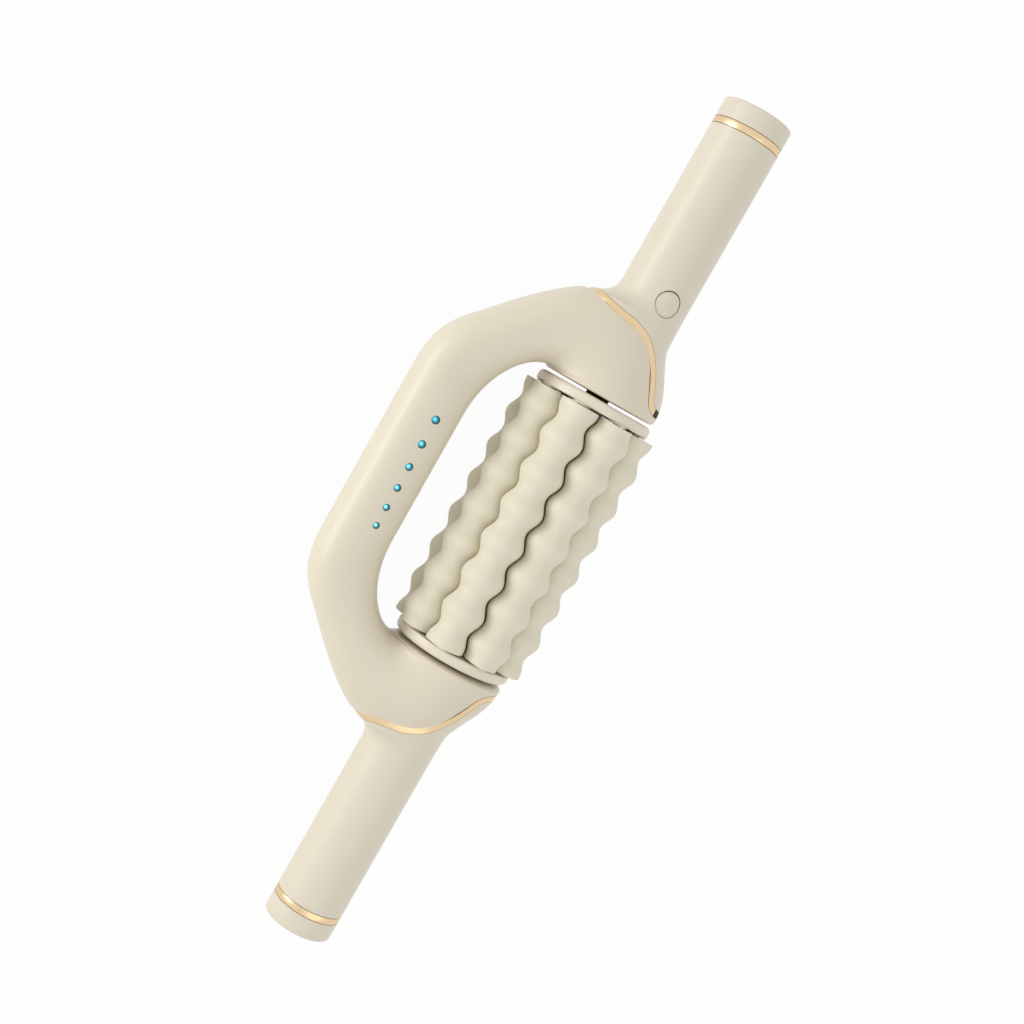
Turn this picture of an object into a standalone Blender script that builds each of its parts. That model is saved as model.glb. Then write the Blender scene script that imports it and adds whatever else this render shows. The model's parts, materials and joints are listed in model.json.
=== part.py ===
"""Two-handed roller massager: a drum of eight waved silicone rods, turned by a gear motor
inside a C-shaped housing with a side grip and a tube handle at each end.

Metres, +Z up. X runs along the drum's axis, +X toward the end with the power button. The side
grip is at +Y. +Z is the front, which carries the button and the six indicators. The origin is the
centre of the overall box.
"""

import math

import bmesh
import bpy
from mathutils import Matrix, Vector

# Clearances.
GAP = 0.0003            # between two pieces that touch
OVERRUN = 0.004         # how far a cutter runs past what it cuts
RUNNING_GAP = 0.0018    # between the turning drum and the housing's hub faces
ROD_GAP = 0.0004        # between two neighbouring rods
CORE_CLEARANCE = 0.0009 # between the rods and the drum's core
WALL_CLEARANCE = 0.0006 # between an inner piece's corner and a curved wall

# How finely round pieces are divided.
ROD_SIDES = 12
PIN_SIDES = 8
DISC_SIDES = 24
SMALL_SIDES = 12
LENS_SIDES = 8
HOLE_SIDES = 16
CROWN_SIDES = 72
SECTION_SIDES = 16
CORNER_STEPS = 2
ROD_WAVE_STEPS = 4
STRAIGHT_STEPS = 3
SEAM_STEPS = 2

# The drum of rods.
ROD_COUNT = 8
ROD_CIRCLE_RADIUS = 0.027
ROD_FIRST_ANGLE = math.radians(14)
ROD_WAVE_HEIGHT = 0.0016
ROD_WAVE_PITCH = 0.0199
ROD_WAVES = 7
PIN_RADIUS = 0.0025
PIN_ENGAGEMENT = 0.0025
BOSS_RADIUS = 0.0048
BOSS_HEIGHT = 0.0009
DISC_EDGE = 0.0055
DISC_THICKNESS = 0.0056
DISC_ROUNDING = 0.0008
DISC_OUTER_ROUNDING = 0.0026
CORE_WALL = 0.0018
SHAFT_RADIUS = 0.0065
SHAFT_PLUG_LENGTH = 0.012

# The housing.
HUB_STEP = 0.0005
HUB_ROUNDING = 0.003
SHELL_WALL = 0.0022
ELBOW_RISE = 0.04725
FINGER_GAP = 0.02014
GRIP_WIDTH = 0.0348
GRIP_DEPTH = 0.032
INNER_BEND_RUN = 0.04325
INNER_BEND_START = 0.002
INNER_BEND_DEPTH = 0.002
OUTER_BEND_RUN = 0.03625

# The tube handles.
HANDLE_LENGTH = 0.16275
TUBE_RADIUS = 0.019
TUBE_WALL = 0.0024
TRIM_RING_WIDTH = 0.0036
CAP_HEIGHT = 0.0107
CAP_ROUNDING = 0.0012
CAP_ROOF = 0.0028
CAP_SKIRT_LENGTH = 0.0105
CAP_SKIRT_WALL = 0.0018

# The gold strip along the seam between housing and handle.
SEAM_TRIM_WIDTH = 0.0035
SEAM_TRIM_WALL = 0.0016

# The power button and its switch. The button stands a little off the tube's middle line.
BUTTON_LEAD = 0.009
BUTTON_OFFSET = 0.0014
BUTTON_RADIUS = 0.0066
BUTTON_FLANGE = 0.0016
BUTTON_FLANGE_THICKNESS = 0.0011
BUTTON_STEM_RADIUS = 0.002
BUTTON_STEM_LENGTH = 0.0016
BUTTON_TRAVEL = 0.0006
SWITCH_SIDE = 0.006

# The indicators in the grip.
LENS_COUNT = 6
LENS_FIRST_X = 0.028
LENS_FIRST_STEP = 0.0138
LENS_STEP_SHARE = 0.93
LENS_FIRST_RADIUS = 0.00205
LENS_LAST_RADIUS = 0.0016
LENS_OFFSET = 0.0019
LENS_FLANGE = 0.0008
LENS_FLANGE_THICKNESS = 0.0008

# Circuit boards.
BOARD_THICKNESS = 0.0016
MAIN_BOARD_LEVEL = 0.004
MAIN_BOARD_LENGTH = 0.062
MAIN_BOARD_LEAD = 0.0075
INDICATOR_BOARD_LEVEL = 0.0085
INDICATOR_BOARD_MARGIN = 0.006

# Drive train and battery.
BEARING_WALL = 0.0032
BEARING_THICKNESS = 0.004
CARRIER_CLEARANCE = 0.0026
GEARBOX_RADIUS = 0.013
GEARBOX_LENGTH = 0.0137
SHAFT_ENGAGEMENT = 0.005
MOTOR_RADIUS = 0.012
MOTOR_LENGTH = 0.0245
MOTOR_TAIL_RADIUS = 0.0035
MOTOR_TAIL_LENGTH = 0.0015
CELL_RADIUS = 0.0092
CELL_LENGTH = 0.065
CELL_TIP_RADIUS = 0.003
CELL_TIP_LENGTH = 0.001
CELL_LEAD = 0.0183
CELL_HOLDER_INSET = 0.007

# Charging socket.
SOCKET_WIDTH = 0.009
SOCKET_HEIGHT = 0.0032
SOCKET_DEPTH = 0.0073
SOCKET_WALL = 0.0004

# Sections of the housing from the hub to the end of the inner bend. Each row holds how far the
# inner edge has come round the bend, how far the outer edge stands above the hub face as a share
# of ELBOW_RISE, where it lies across the axis (-1 the hub's far side, 1 its near side, 2 the
# grip's outer edge), the depth (0 as the grip, 1 as the hub) and how square the section is.
ELBOW_STATION_SHARES = (
    (0.030, 0.054, -1.000, 1.000, 2.00),
    (0.060, 0.290, -0.945, 0.940, 2.05),
    (0.085, 0.560, -0.760, 0.830, 2.05),
    (0.110, 0.820, -0.550, 0.720, 2.10),
    (0.145, 1.050, -0.200, 0.590, 2.18),
    (0.190, 1.125, 0.290, 0.470, 2.24),
    (0.240, 1.060, 0.720, 0.375, 2.30),
    (0.280, 0.958, 1.016, 0.300, 2.35),
    (0.330, 0.810, 1.197, 0.240, 2.40),
    (0.400, 0.620, 1.370, 0.180, 2.40),
    (0.490, 0.400, 1.545, 0.125, 2.40),
    (0.590, 0.180, 1.708, 0.080, 2.40),
    (0.690, -0.020, 1.852, 0.045, 2.40),
    (0.790, -0.230, 1.947, 0.025, 2.40),
    (0.890, -0.470, 1.992, 0.012, 2.40),
)
GRIP_SQUARENESS_SHARE = 2.4

# Sections of a tube handle's flared root, from the plain tube to the hub face. Each row holds the
# height above the hub face as a share of ELBOW_RISE, then how far the far side, the near side and
# the front have swollen from the tube's radius (0) to the hub's (1), and how square the near
# side is.
FLARE_STATION_SHARES = (
    (1.250, 0.00, 0.00, 0.00, 2.0),
    (1.160, 0.00, 0.04, 0.00, 2.0),
    (1.104, 0.00, 0.13, 0.01, 2.05),
    (1.052, 0.00, 0.31, 0.03, 2.15),
    (1.010, 0.00, 0.57, 0.05, 2.3),
    (0.975, 0.00, 0.90, 0.08, 2.5),
    (0.906, 0.00, 1.08, 0.13, 2.5),
    (0.830, 0.00, 1.00, 0.20, 2.4),
    (0.740, 0.05, 0.85, 0.28, 2.2),
    (0.600, 0.29, 0.80, 0.44, 2.0),
    (0.448, 0.58, 0.80, 0.67, 2.0),
    (0.300, 0.83, 0.90, 0.85, 2.0),
    (0.156, 0.97, 0.97, 0.97, 2.0),
    (0.030, 1.00, 1.00, 1.00, 2.0),
)

# The seam as seen from the front: height above the hub face as a share of ELBOW_RISE, and place
# across the axis as a share of the hub's radius.
SEAM_SHARES = (
    (0.979, 1.125),
    (0.959, 0.970),
    (0.898, 0.750),
    (0.867, 0.530),
    (0.832, 0.250),
    (0.736, -0.030),
    (0.545, -0.280),
    (0.344, -0.430),
    (0.217, -0.516),
    (0.150, -0.640),
    (0.127, -0.810),
    (0.127, -1.125),
)

# Sizes that follow from the ones above.
MERGE_DISTANCE = GAP / 10
ROD_MEAN_RADIUS = ROD_CIRCLE_RADIUS * math.sin(math.pi / ROD_COUNT) - ROD_GAP / 2
ROD_HALF_LENGTH = ROD_WAVES * ROD_WAVE_PITCH / 2
ROLLER_REACH = ROD_CIRCLE_RADIUS * math.cos(ROD_FIRST_ANGLE) + ROD_MEAN_RADIUS + ROD_WAVE_HEIGHT
CORE_RADIUS = ROD_CIRCLE_RADIUS - ROD_MEAN_RADIUS - ROD_WAVE_HEIGHT - CORE_CLEARANCE
DISC_X = ROD_HALF_LENGTH + GAP + BOSS_HEIGHT
DISC_RADIUS = ROD_CIRCLE_RADIUS + DISC_EDGE
HUB_FACE_X = DISC_X + DISC_THICKNESS + RUNNING_GAP
HUB_RADIUS = DISC_RADIUS - HUB_STEP
HUB_HOLE_RADIUS = SHAFT_RADIUS + GAP
GRIP_INNER = ROLLER_REACH + FINGER_GAP
GRIP_OUTER = GRIP_INNER + GRIP_WIDTH
GRIP_CENTRE = GRIP_INNER + GRIP_WIDTH / 2
AXIS_Y = (ROLLER_REACH - GRIP_OUTER) / 2
END_X = HUB_FACE_X + HANDLE_LENGTH
CAP_X = END_X - CAP_HEIGHT
TRIM_RING_X = CAP_X - GAP - TRIM_RING_WIDTH
TUBE_END_X = TRIM_RING_X - GAP
TUBE_BORE = TUBE_RADIUS - TUBE_WALL
CARRIER_X = HUB_FACE_X + SHELL_WALL + GAP
CARRIER_RADIUS = HUB_RADIUS - SHELL_WALL - CARRIER_CLEARANCE
BEARING_RADIUS = SHAFT_RADIUS + GAP + BEARING_WALL
GEARBOX_X = CARRIER_X + BEARING_THICKNESS + GAP
MOTOR_X = GEARBOX_X + GEARBOX_LENGTH + GAP
SHOULDER_X = HUB_FACE_X + ELBOW_RISE
BUTTON_X = SHOULDER_X + BUTTON_LEAD
INNER_STRAIGHT_HALF = HUB_FACE_X - INNER_BEND_RUN
OUTER_STRAIGHT_HALF = HUB_FACE_X - OUTER_BEND_RUN

COLLECTION_NAME = "roller_massager"
CUTTER_COLLECTION_NAME = "cutters"
TURN_TO_X = math.pi / 2


def clear_scene():
    """Start from an empty scene, with one collection for the pieces and one for the cutters."""
    for item in list(bpy.data.objects):
        bpy.data.objects.remove(item, do_unlink=True)
    collections = []
    for name in (COLLECTION_NAME, CUTTER_COLLECTION_NAME):
        collection = bpy.data.collections.new(name)
        bpy.context.scene.collection.children.link(collection)
        collections.append(collection)
    return collections


PIECES, CUTTERS = clear_scene()


def linear(channel):
    """One channel of a screen colour, 0 to 255, as linear light."""
    value = channel / 255
    if value <= 0.04045:
        return value / 12.92
    return ((value + 0.055) / 1.055) ** 2.4


def finish(name, screen_colour, roughness, metallic=0.0):
    """A Principled material from a screen colour."""
    material = bpy.data.materials.new(name)
    material.use_nodes = True
    shader = material.node_tree.nodes["Principled BSDF"]
    shader.inputs["Base Color"].default_value = [linear(c) for c in screen_colour] + [1]
    shader.inputs["Roughness"].default_value = roughness
    shader.inputs["Metallic"].default_value = metallic
    return material


HOUSING = finish("housing_plastic", (216, 208, 190), 0.45)
HANDLE = finish("handle_plastic", (216, 208, 190), 0.45)
SILICONE = finish("rod_silicone", (220, 214, 194), 0.55)
GOLD = finish("gold_trim", (236, 203, 156), 0.3, 0.9)
BUTTON_PLASTIC = finish("button_plastic", (217, 210, 192), 0.45)
LENS = finish("indicator_lens", (30, 180, 205), 0.15)
STEEL = finish("shaft_steel", (120, 112, 100), 0.3, 1.0)
ALUMINIUM = finish("core_aluminium", (176, 176, 178), 0.4, 1.0)
BOARD = finish("circuit_board", (34, 92, 58), 0.6)
BATTERY = finish("battery_sleeve", (60, 96, 150), 0.4)
INNER_PLASTIC = finish("inner_plastic", (70, 70, 72), 0.6)
MOTOR_METAL = finish("motor_can", (170, 172, 174), 0.35, 1.0)


def empty(name, location):
    """A guide that other objects are placed from."""
    guide = bpy.data.objects.new(name, None)
    guide.location = location
    PIECES.objects.link(guide)
    return guide


MAIN_AXIS = empty("main_axis", (0, AXIS_Y, 0))


def place(name, mesh, material=None, location=(0, 0, 0), rotation=(0, 0, 0)):
    """An object placed from the main axis; without a material it is a hidden cutter."""
    item = bpy.data.objects.new(name, mesh)
    item.location = location
    item.rotation_euler = rotation
    item.parent = MAIN_AXIS
    if material is None:
        CUTTERS.objects.link(item)
        item.display_type = "WIRE"
        item.hide_render = True
        return item
    mesh.materials.append(material)
    PIECES.objects.link(item)
    return item


def shade(item, angle=math.radians(35)):
    """Smooth shading with sharp corners kept."""
    item.data.shade_smooth()
    item.data.set_sharp_from_angle(angle=angle)


def mesh_from(name, build):
    """A mesh filled by a function that works on a bmesh."""
    mesh = bpy.data.meshes.new(name)
    body = bmesh.new()
    build(body)
    body.to_mesh(mesh)
    body.free()
    return mesh


def turned(name, profile, material, location=(0, 0, 0), rotation=(0, TURN_TO_X, 0),
           steps=SMALL_SIDES, ring=False):
    """A body turned about its own Z. The profile holds (radius, height) from the top down its
    outer side. It closes on itself for a ring, and otherwise starts and ends on the axis."""
    def build(body):
        points = [body.verts.new((radius, 0, height)) for radius, height in profile]
        for first, second in zip(points, points[1:]):
            body.edges.new((first, second))
        if ring:
            body.edges.new((points[-1], points[0]))

    item = place(name, mesh_from(name, build), material, location, rotation)
    screw = item.modifiers.new("turn", "SCREW")
    screw.axis = "Z"
    screw.steps = steps
    screw.render_steps = steps
    screw.use_merge_vertices = True
    screw.merge_threshold = MERGE_DISTANCE
    screw.use_smooth_shade = False
    return item


def plain_cylinder(radius, low, high):
    """The turned profile of a solid cylinder."""
    return [(0, high), (radius, high), (radius, low), (0, low)]


def tube_profile(outer, inner, low, high):
    """The turned profile of a tube."""
    return [(outer, high), (outer, low), (inner, low), (inner, high)]


def rounded_corner(radius, height, rounding, steps=CORNER_STEPS, upward=True):
    """Profile points round the outer corner of a turned body, from the top down."""
    points = []
    for step in range(steps + 1):
        angle = math.pi / 2 * step / steps
        across = radius - rounding + rounding * math.sin(angle)
        fall = rounding - rounding * math.cos(angle)
        points.append((across, height - fall if upward else height + fall))
    return points if upward else points[::-1]


def box(name, low, high, material=None):
    """A block between two corners."""
    low = Vector(low)
    high = Vector(high)

    def build(body):
        bmesh.ops.create_cube(body, size=1)
        size = high - low
        bmesh.ops.scale(body, vec=size, verts=body.verts)
        bmesh.ops.translate(body, vec=(low + high) / 2, verts=body.verts)

    return place(name, mesh_from(name, build), material)


def upright_cutter(name, x, y, radius, low, high, steps):
    """A cylinder that stands along Z, for a hole."""
    def build(body):
        bmesh.ops.create_cone(body, cap_ends=True, segments=steps, radius1=radius,
                              radius2=radius, depth=high - low,
                              matrix=Matrix.Translation((x, y, (low + high) / 2)))

    return place(name, mesh_from(name, build))


def prism(name, outline, depth):
    """A flat outline in the X-Y plane, drawn out to both sides as a cutter."""
    def build(body):
        corners = [body.verts.new((x, y, -depth)) for x, y in outline]
        face = body.faces.new(corners)
        drawn = bmesh.ops.extrude_face_region(body, geom=[face])
        moved = [part for part in drawn["geom"] if isinstance(part, bmesh.types.BMVert)]
        bmesh.ops.translate(body, vec=(0, 0, depth * 2), verts=moved)
        bmesh.ops.recalc_face_normals(body, faces=body.faces)

    return place(name, mesh_from(name, build))


def cut(item, cutter, operation="DIFFERENCE"):
    """A live Boolean."""
    boolean = item.modifiers.new(cutter.name, "BOOLEAN")
    boolean.operation = operation
    boolean.solver = "EXACT"
    boolean.object = cutter


def shell_wall(item, thickness):
    """Give an open surface its wall, inward from the drawn outside."""
    wall = item.modifiers.new("wall", "SOLIDIFY")
    wall.thickness = thickness
    wall.offset = -1
    wall.use_even_offset = True
    wall.use_rim = True


def mirror_lengthwise(item):
    """Complete a half that is open at the middle plane."""
    mirror = item.modifiers.new("other_end", "MIRROR")
    mirror.use_axis = (True, False, False)
    mirror.merge_threshold = MERGE_DISTANCE


def mix(start, end, share):
    """A value between two others."""
    return start + (end - start) * share


def signed_power(value, power):
    """A power that keeps the sign of its base."""
    return math.copysign(abs(value) ** power, value)


def section(inner, outer, half_depth, squareness, side, count):
    """Points of half a rounded section, from its outer edge over the face to its inner edge."""
    points = []
    for step in range(count + 1):
        angle = math.pi * step / count
        across = signed_power(math.cos(angle), 2 / squareness)
        raise_share = abs(math.sin(angle)) ** (2 / squareness)
        x = mix(inner[0], outer[0], (across + 1) / 2)
        y = mix(inner[1], outer[1], (across + 1) / 2)
        on_plane = step in (0, count)
        points.append((x, y, 0 if on_plane else side * half_depth * raise_share))
    return points


def inner_edge(bend_share):
    """The inner edge of the housing: a quarter ellipse from beside the hub face to the grip."""
    angle = math.pi / 2 * bend_share
    start = HUB_RADIUS - INNER_BEND_START
    depth = INNER_BEND_DEPTH
    x = HUB_FACE_X + depth - (INNER_BEND_RUN + depth) * (1 - math.cos(angle))
    y = start + (GRIP_INNER - start) * math.sin(angle)
    return x, y


def outer_edge(rise_share, side_share):
    """A point of the housing's outer edge."""
    x = HUB_FACE_X + ELBOW_RISE * rise_share
    if side_share <= 1:
        return x, HUB_RADIUS * side_share
    return x, mix(HUB_RADIUS, GRIP_OUTER, side_share - 1)


def housing_rows(side):
    """Half sections of one housing shell, from the hub's hole round to the middle of the grip."""
    count = SECTION_SIDES // 2
    rows = []
    for radius in (HUB_HOLE_RADIUS, HUB_RADIUS - HUB_ROUNDING):
        rows.append(section((HUB_FACE_X, radius), (HUB_FACE_X, -radius), radius, 2, side, count))
    for bend, rise, across, depth, squareness in ELBOW_STATION_SHARES:
        half_depth = mix(GRIP_DEPTH / 2, HUB_RADIUS, depth)
        rows.append(section(inner_edge(bend), outer_edge(rise, across), half_depth, squareness,
                            side, count))
    for step in range(STRAIGHT_STEPS, -1, -1):
        part = step / STRAIGHT_STEPS
        inner = (INNER_STRAIGHT_HALF * part, GRIP_INNER)
        outer = (OUTER_STRAIGHT_HALF * part, GRIP_OUTER)
        rows.append(section(inner, outer, GRIP_DEPTH / 2, GRIP_SQUARENESS_SHARE, side, count))
    return rows


def skin(name, rows, flip, closed=False):
    """An open surface through rows of points."""
    def build(body):
        grid = [[body.verts.new(point) for point in row] for row in rows]
        width = len(rows[0])
        for near, far in zip(grid, grid[1:]):
            for step in range(width if closed else width - 1):
                after = (step + 1) % width
                face = [near[step], far[step], far[after], near[after]]
                body.faces.new(face[::-1] if flip else face)

    return mesh_from(name, build)


def smooth_path(points, steps):
    """A smooth curve through the given points, with a few points between each two."""
    ends = [points[0]] + list(points) + [points[-1]]
    path = []
    for before, start, end, after in zip(ends, ends[1:], ends[2:], ends[3:]):
        for step in range(steps):
            t = step / steps
            weights = (-t + 2 * t ** 2 - t ** 3, 2 - 5 * t ** 2 + 3 * t ** 3,
                       t + 4 * t ** 2 - 3 * t ** 3, t ** 3 - t ** 2)
            corners = (before, start, end, after)
            path.append(tuple(sum(w * c[k] for w, c in zip(weights, corners)) / 2
                              for k in (0, 1)))
    path.append(tuple(points[-1]))
    return path


def seam_path(shift, end_sign):
    """The seam of one end in the X-Y plane, moved toward the tube by a distance."""
    points = [(HUB_FACE_X + ELBOW_RISE * rise, HUB_RADIUS * across)
              for rise, across in SEAM_SHARES]
    path = smooth_path(points, SEAM_STEPS)
    moved = []
    for index, (x, y) in enumerate(path):
        before = Vector(path[max(index - 1, 0)])
        after = Vector(path[min(index + 1, len(path) - 1)])
        along = (after - before).normalized()
        moved.append((end_sign * (x - along.y * shift), y + along.x * shift))
    return moved


def seam_cutter(name, end_sign, keep):
    """A block that removes one side of the seam, or the band that the gold strip fills."""
    depth = HUB_RADIUS + OVERRUN
    half = SEAM_TRIM_WIDTH / 2
    if keep == "strip":
        outline = seam_path(-half, end_sign) + seam_path(half, end_sign)[::-1]
    elif keep == "housing":
        past = end_sign * (SHOULDER_X + HUB_RADIUS)
        outline = seam_path(-half - GAP, end_sign)
        outline += [(past, outline[-1][1]), (past, outline[0][1])]
    else:
        outline = seam_path(half + GAP, end_sign)
        outline += [(0, outline[-1][1]), (0, outline[0][1])]
    return prism(name, outline, depth)


def flare_section(x, far, near, depth, squareness):
    """A section of a tube handle: round on the far side, drawn out and squarer on the near one."""
    points = []
    for step in range(SECTION_SIDES):
        angle = math.tau * step / SECTION_SIDES
        across = math.cos(angle)
        rise = math.sin(angle)
        if across > 0:
            y = near * across ** (2 / squareness)
            z = depth * signed_power(rise, 2 / squareness)
        else:
            y = far * across
            z = depth * rise
        points.append((x, y, z))
    return points


def flare_rows(end_sign):
    """Full sections of a tube handle from its outer end down its flared root."""
    swell = HUB_RADIUS - TUBE_RADIUS
    plain_end = (TUBE_END_X - HUB_FACE_X) / ELBOW_RISE
    rows = []
    for rise, far, near, front, squareness in ((plain_end, 0, 0, 0, 2),) + FLARE_STATION_SHARES:
        rows.append(flare_section(end_sign * (HUB_FACE_X + ELBOW_RISE * rise),
                                  TUBE_RADIUS + swell * far, TUBE_RADIUS + swell * near,
                                  TUBE_RADIUS + swell * front, squareness))
    return rows


def make_housing():
    """Front and rear shells of the C-shaped housing."""
    upper_cutter = seam_cutter("upper_seam_for_housing", 1, "housing")
    lower_cutter = seam_cutter("lower_seam_for_housing", -1, "housing")
    far = END_X + OVERRUN
    deep = HUB_RADIUS + OVERRUN
    wide = GRIP_OUTER + OVERRUN
    for name, side in (("front_shell", 1), ("rear_shell", -1)):
        item = place(name, skin(name, housing_rows(side), flip=side < 0), HOUSING)
        mirror_lengthwise(item)
        shell_wall(item, SHELL_WALL)
        levels = sorted((side * GAP / 2, -side * deep))
        parting = box(name + "_parting", (-far, -wide, levels[0]), (far, wide, levels[1]))
        cut(item, parting)
        cut(item, upper_cutter)
        cut(item, lower_cutter)
        if side > 0:
            for index, (x, radius) in enumerate(lens_places(), start=1):
                cut(item, upright_cutter(f"lens_hole_{index}", x, GRIP_CENTRE - LENS_OFFSET,
                                         radius + GAP, 0, GRIP_DEPTH, LENS_SIDES))
        shade(item)


def make_tube_handles():
    """The two tube handles with their gold seam strips."""
    for end, sign in (("upper", 1), ("lower", -1)):
        rows = flare_rows(sign)
        name = end + "_handle_tube"
        tube = place(name, skin(name, rows, flip=sign < 0, closed=True), HANDLE)
        shell_wall(tube, TUBE_WALL)
        cut(tube, seam_cutter(end + "_seam_for_tube", sign, "tube"))
        if sign > 0:
            cut(tube, upright_cutter("button_hole", BUTTON_X, -BUTTON_OFFSET, BUTTON_RADIUS + GAP, 0,
                                     TUBE_RADIUS + OVERRUN, HOLE_SIDES))
        shade(tube)
        name = end + "_seam_trim"
        trim = place(name, skin(name, rows[1:], flip=sign < 0, closed=True), GOLD)
        shell_wall(trim, SEAM_TRIM_WALL)
        cut(trim, seam_cutter(end + "_seam_band", sign, "strip"), "INTERSECT")
        shade(trim)


def make_tube_ends():
    """Gold rings and end caps, with the charging socket in the lower cap."""
    skirt_radius = TUBE_BORE - GAP
    skirt_inner = skirt_radius - CAP_SKIRT_WALL
    skirt_low = CAP_X - CAP_SKIRT_LENGTH
    cap = [(0, END_X)] + rounded_corner(TUBE_RADIUS, END_X, CAP_ROUNDING)
    cap += [(TUBE_RADIUS, CAP_X), (skirt_radius, CAP_X), (skirt_radius, skirt_low)]
    cap += [(skirt_inner, skirt_low), (skirt_inner, END_X - CAP_ROOF), (0, END_X - CAP_ROOF)]
    ring = tube_profile(TUBE_RADIUS, TUBE_BORE, TRIM_RING_X, CAP_X - GAP)
    for end, sign in (("upper", 1), ("lower", -1)):
        rotation = (0, sign * TURN_TO_X, 0)
        turned(end + "_trim_ring", ring, GOLD, rotation=rotation, steps=SECTION_SIDES,
               ring=True)
        item = turned(end + "_end_cap", cap, HANDLE, rotation=rotation, steps=SECTION_SIDES)
        if sign < 0:
            half_width = SOCKET_WIDTH / 2 + GAP
            half_height = SOCKET_HEIGHT / 2 + GAP
            slot = box("socket_slot", (-END_X - OVERRUN, -half_width, -half_height),
                       (-END_X + CAP_ROOF + OVERRUN, half_width, half_height))
            cut(item, slot)
    half_width = SOCKET_WIDTH / 2
    half_height = SOCKET_HEIGHT / 2
    mouth = -END_X + GAP
    socket = box("charge_socket", (mouth, -half_width, -half_height),
                 (mouth + SOCKET_DEPTH, half_width, half_height), MOTOR_METAL)
    hollow = box("socket_hollow",
                 (mouth - OVERRUN, -half_width + SOCKET_WALL, -half_height + SOCKET_WALL),
                 (mouth + SOCKET_DEPTH - SOCKET_WALL, half_width - SOCKET_WALL,
                  half_height - SOCKET_WALL))
    cut(socket, hollow)


def lens_places():
    """Each indicator's place along the grip and its radius; both shrink toward the lower end."""
    places = []
    x = LENS_FIRST_X
    step = LENS_FIRST_STEP
    for index in range(LENS_COUNT):
        radius = mix(LENS_FIRST_RADIUS, LENS_LAST_RADIUS, index / (LENS_COUNT - 1))
        places.append((x, radius))
        x -= step
        step *= LENS_STEP_SHARE
    return places


def grip_half_width(level, wall):
    """Half the clear width inside the grip at a height above its middle plane."""
    depth = GRIP_DEPTH / 2 - wall
    width = GRIP_WIDTH / 2 - wall
    return width * (1 - (level / depth) ** GRIP_SQUARENESS_SHARE) ** (1 / GRIP_SQUARENESS_SHARE)


def grip_half_depth(offset, wall):
    """Half the clear depth inside the grip at a distance from its middle line."""
    depth = GRIP_DEPTH / 2 - wall
    width = GRIP_WIDTH / 2 - wall
    return depth * (1 - (offset / width) ** GRIP_SQUARENESS_SHARE) ** (1 / GRIP_SQUARENESS_SHARE)


def make_indicators():
    """Light pipes in the grip, standing on their circuit board."""
    board_top = INDICATOR_BOARD_LEVEL + BOARD_THICKNESS
    half_width = grip_half_width(board_top, SHELL_WALL) - WALL_CLEARANCE
    places = lens_places()
    box("indicator_board",
        (places[-1][0] - INDICATOR_BOARD_MARGIN, GRIP_CENTRE - half_width, INDICATOR_BOARD_LEVEL),
        (places[0][0] + INDICATOR_BOARD_MARGIN, GRIP_CENTRE + half_width, board_top), BOARD)
    low = board_top + GAP
    flange_edge = LENS_OFFSET + LENS_FIRST_RADIUS + LENS_FLANGE
    flange_top = grip_half_depth(flange_edge, SHELL_WALL) - WALL_CLEARANCE
    flange_low = flange_top - LENS_FLANGE_THICKNESS
    top = GRIP_DEPTH / 2
    for index, (x, radius) in enumerate(places, start=1):
        profile = [(0, top), (radius, top - GAP), (radius, flange_top)]
        profile += [(radius + LENS_FLANGE, flange_top), (radius + LENS_FLANGE, flange_low)]
        profile += [(radius, flange_low), (radius, low), (0, low)]
        turned(f"indicator_lens_{index}", profile, LENS,
               location=(x, GRIP_CENTRE - LENS_OFFSET, 0), rotation=(0, 0, 0),
               steps=LENS_SIDES)


def make_button():
    """The power button, with its top following the tube and a flange under the tube's wall."""
    edge = BUTTON_RADIUS + BUTTON_FLANGE
    flange_top = math.sqrt(TUBE_BORE ** 2 - (edge + BUTTON_OFFSET) ** 2) - WALL_CLEARANCE
    flange_low = flange_top - BUTTON_FLANGE_THICKNESS
    stem_low = flange_low - BUTTON_STEM_LENGTH
    profile = [(0, TUBE_RADIUS + OVERRUN), (BUTTON_RADIUS, TUBE_RADIUS + OVERRUN)]
    profile += [(BUTTON_RADIUS, flange_top), (edge, flange_top), (edge, flange_low)]
    profile += [(BUTTON_STEM_RADIUS, flange_low), (BUTTON_STEM_RADIUS, stem_low), (0, stem_low)]
    button = turned("power_button", profile, BUTTON_PLASTIC,
                    location=(BUTTON_X, -BUTTON_OFFSET, 0), rotation=(0, 0, 0))
    reach = edge + OVERRUN
    crown = turned("button_crown", plain_cylinder(TUBE_RADIUS, -reach, reach), None,
                   location=(BUTTON_X, 0, 0), steps=CROWN_SIDES)
    cut(button, crown, "INTERSECT")
    return stem_low


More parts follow.
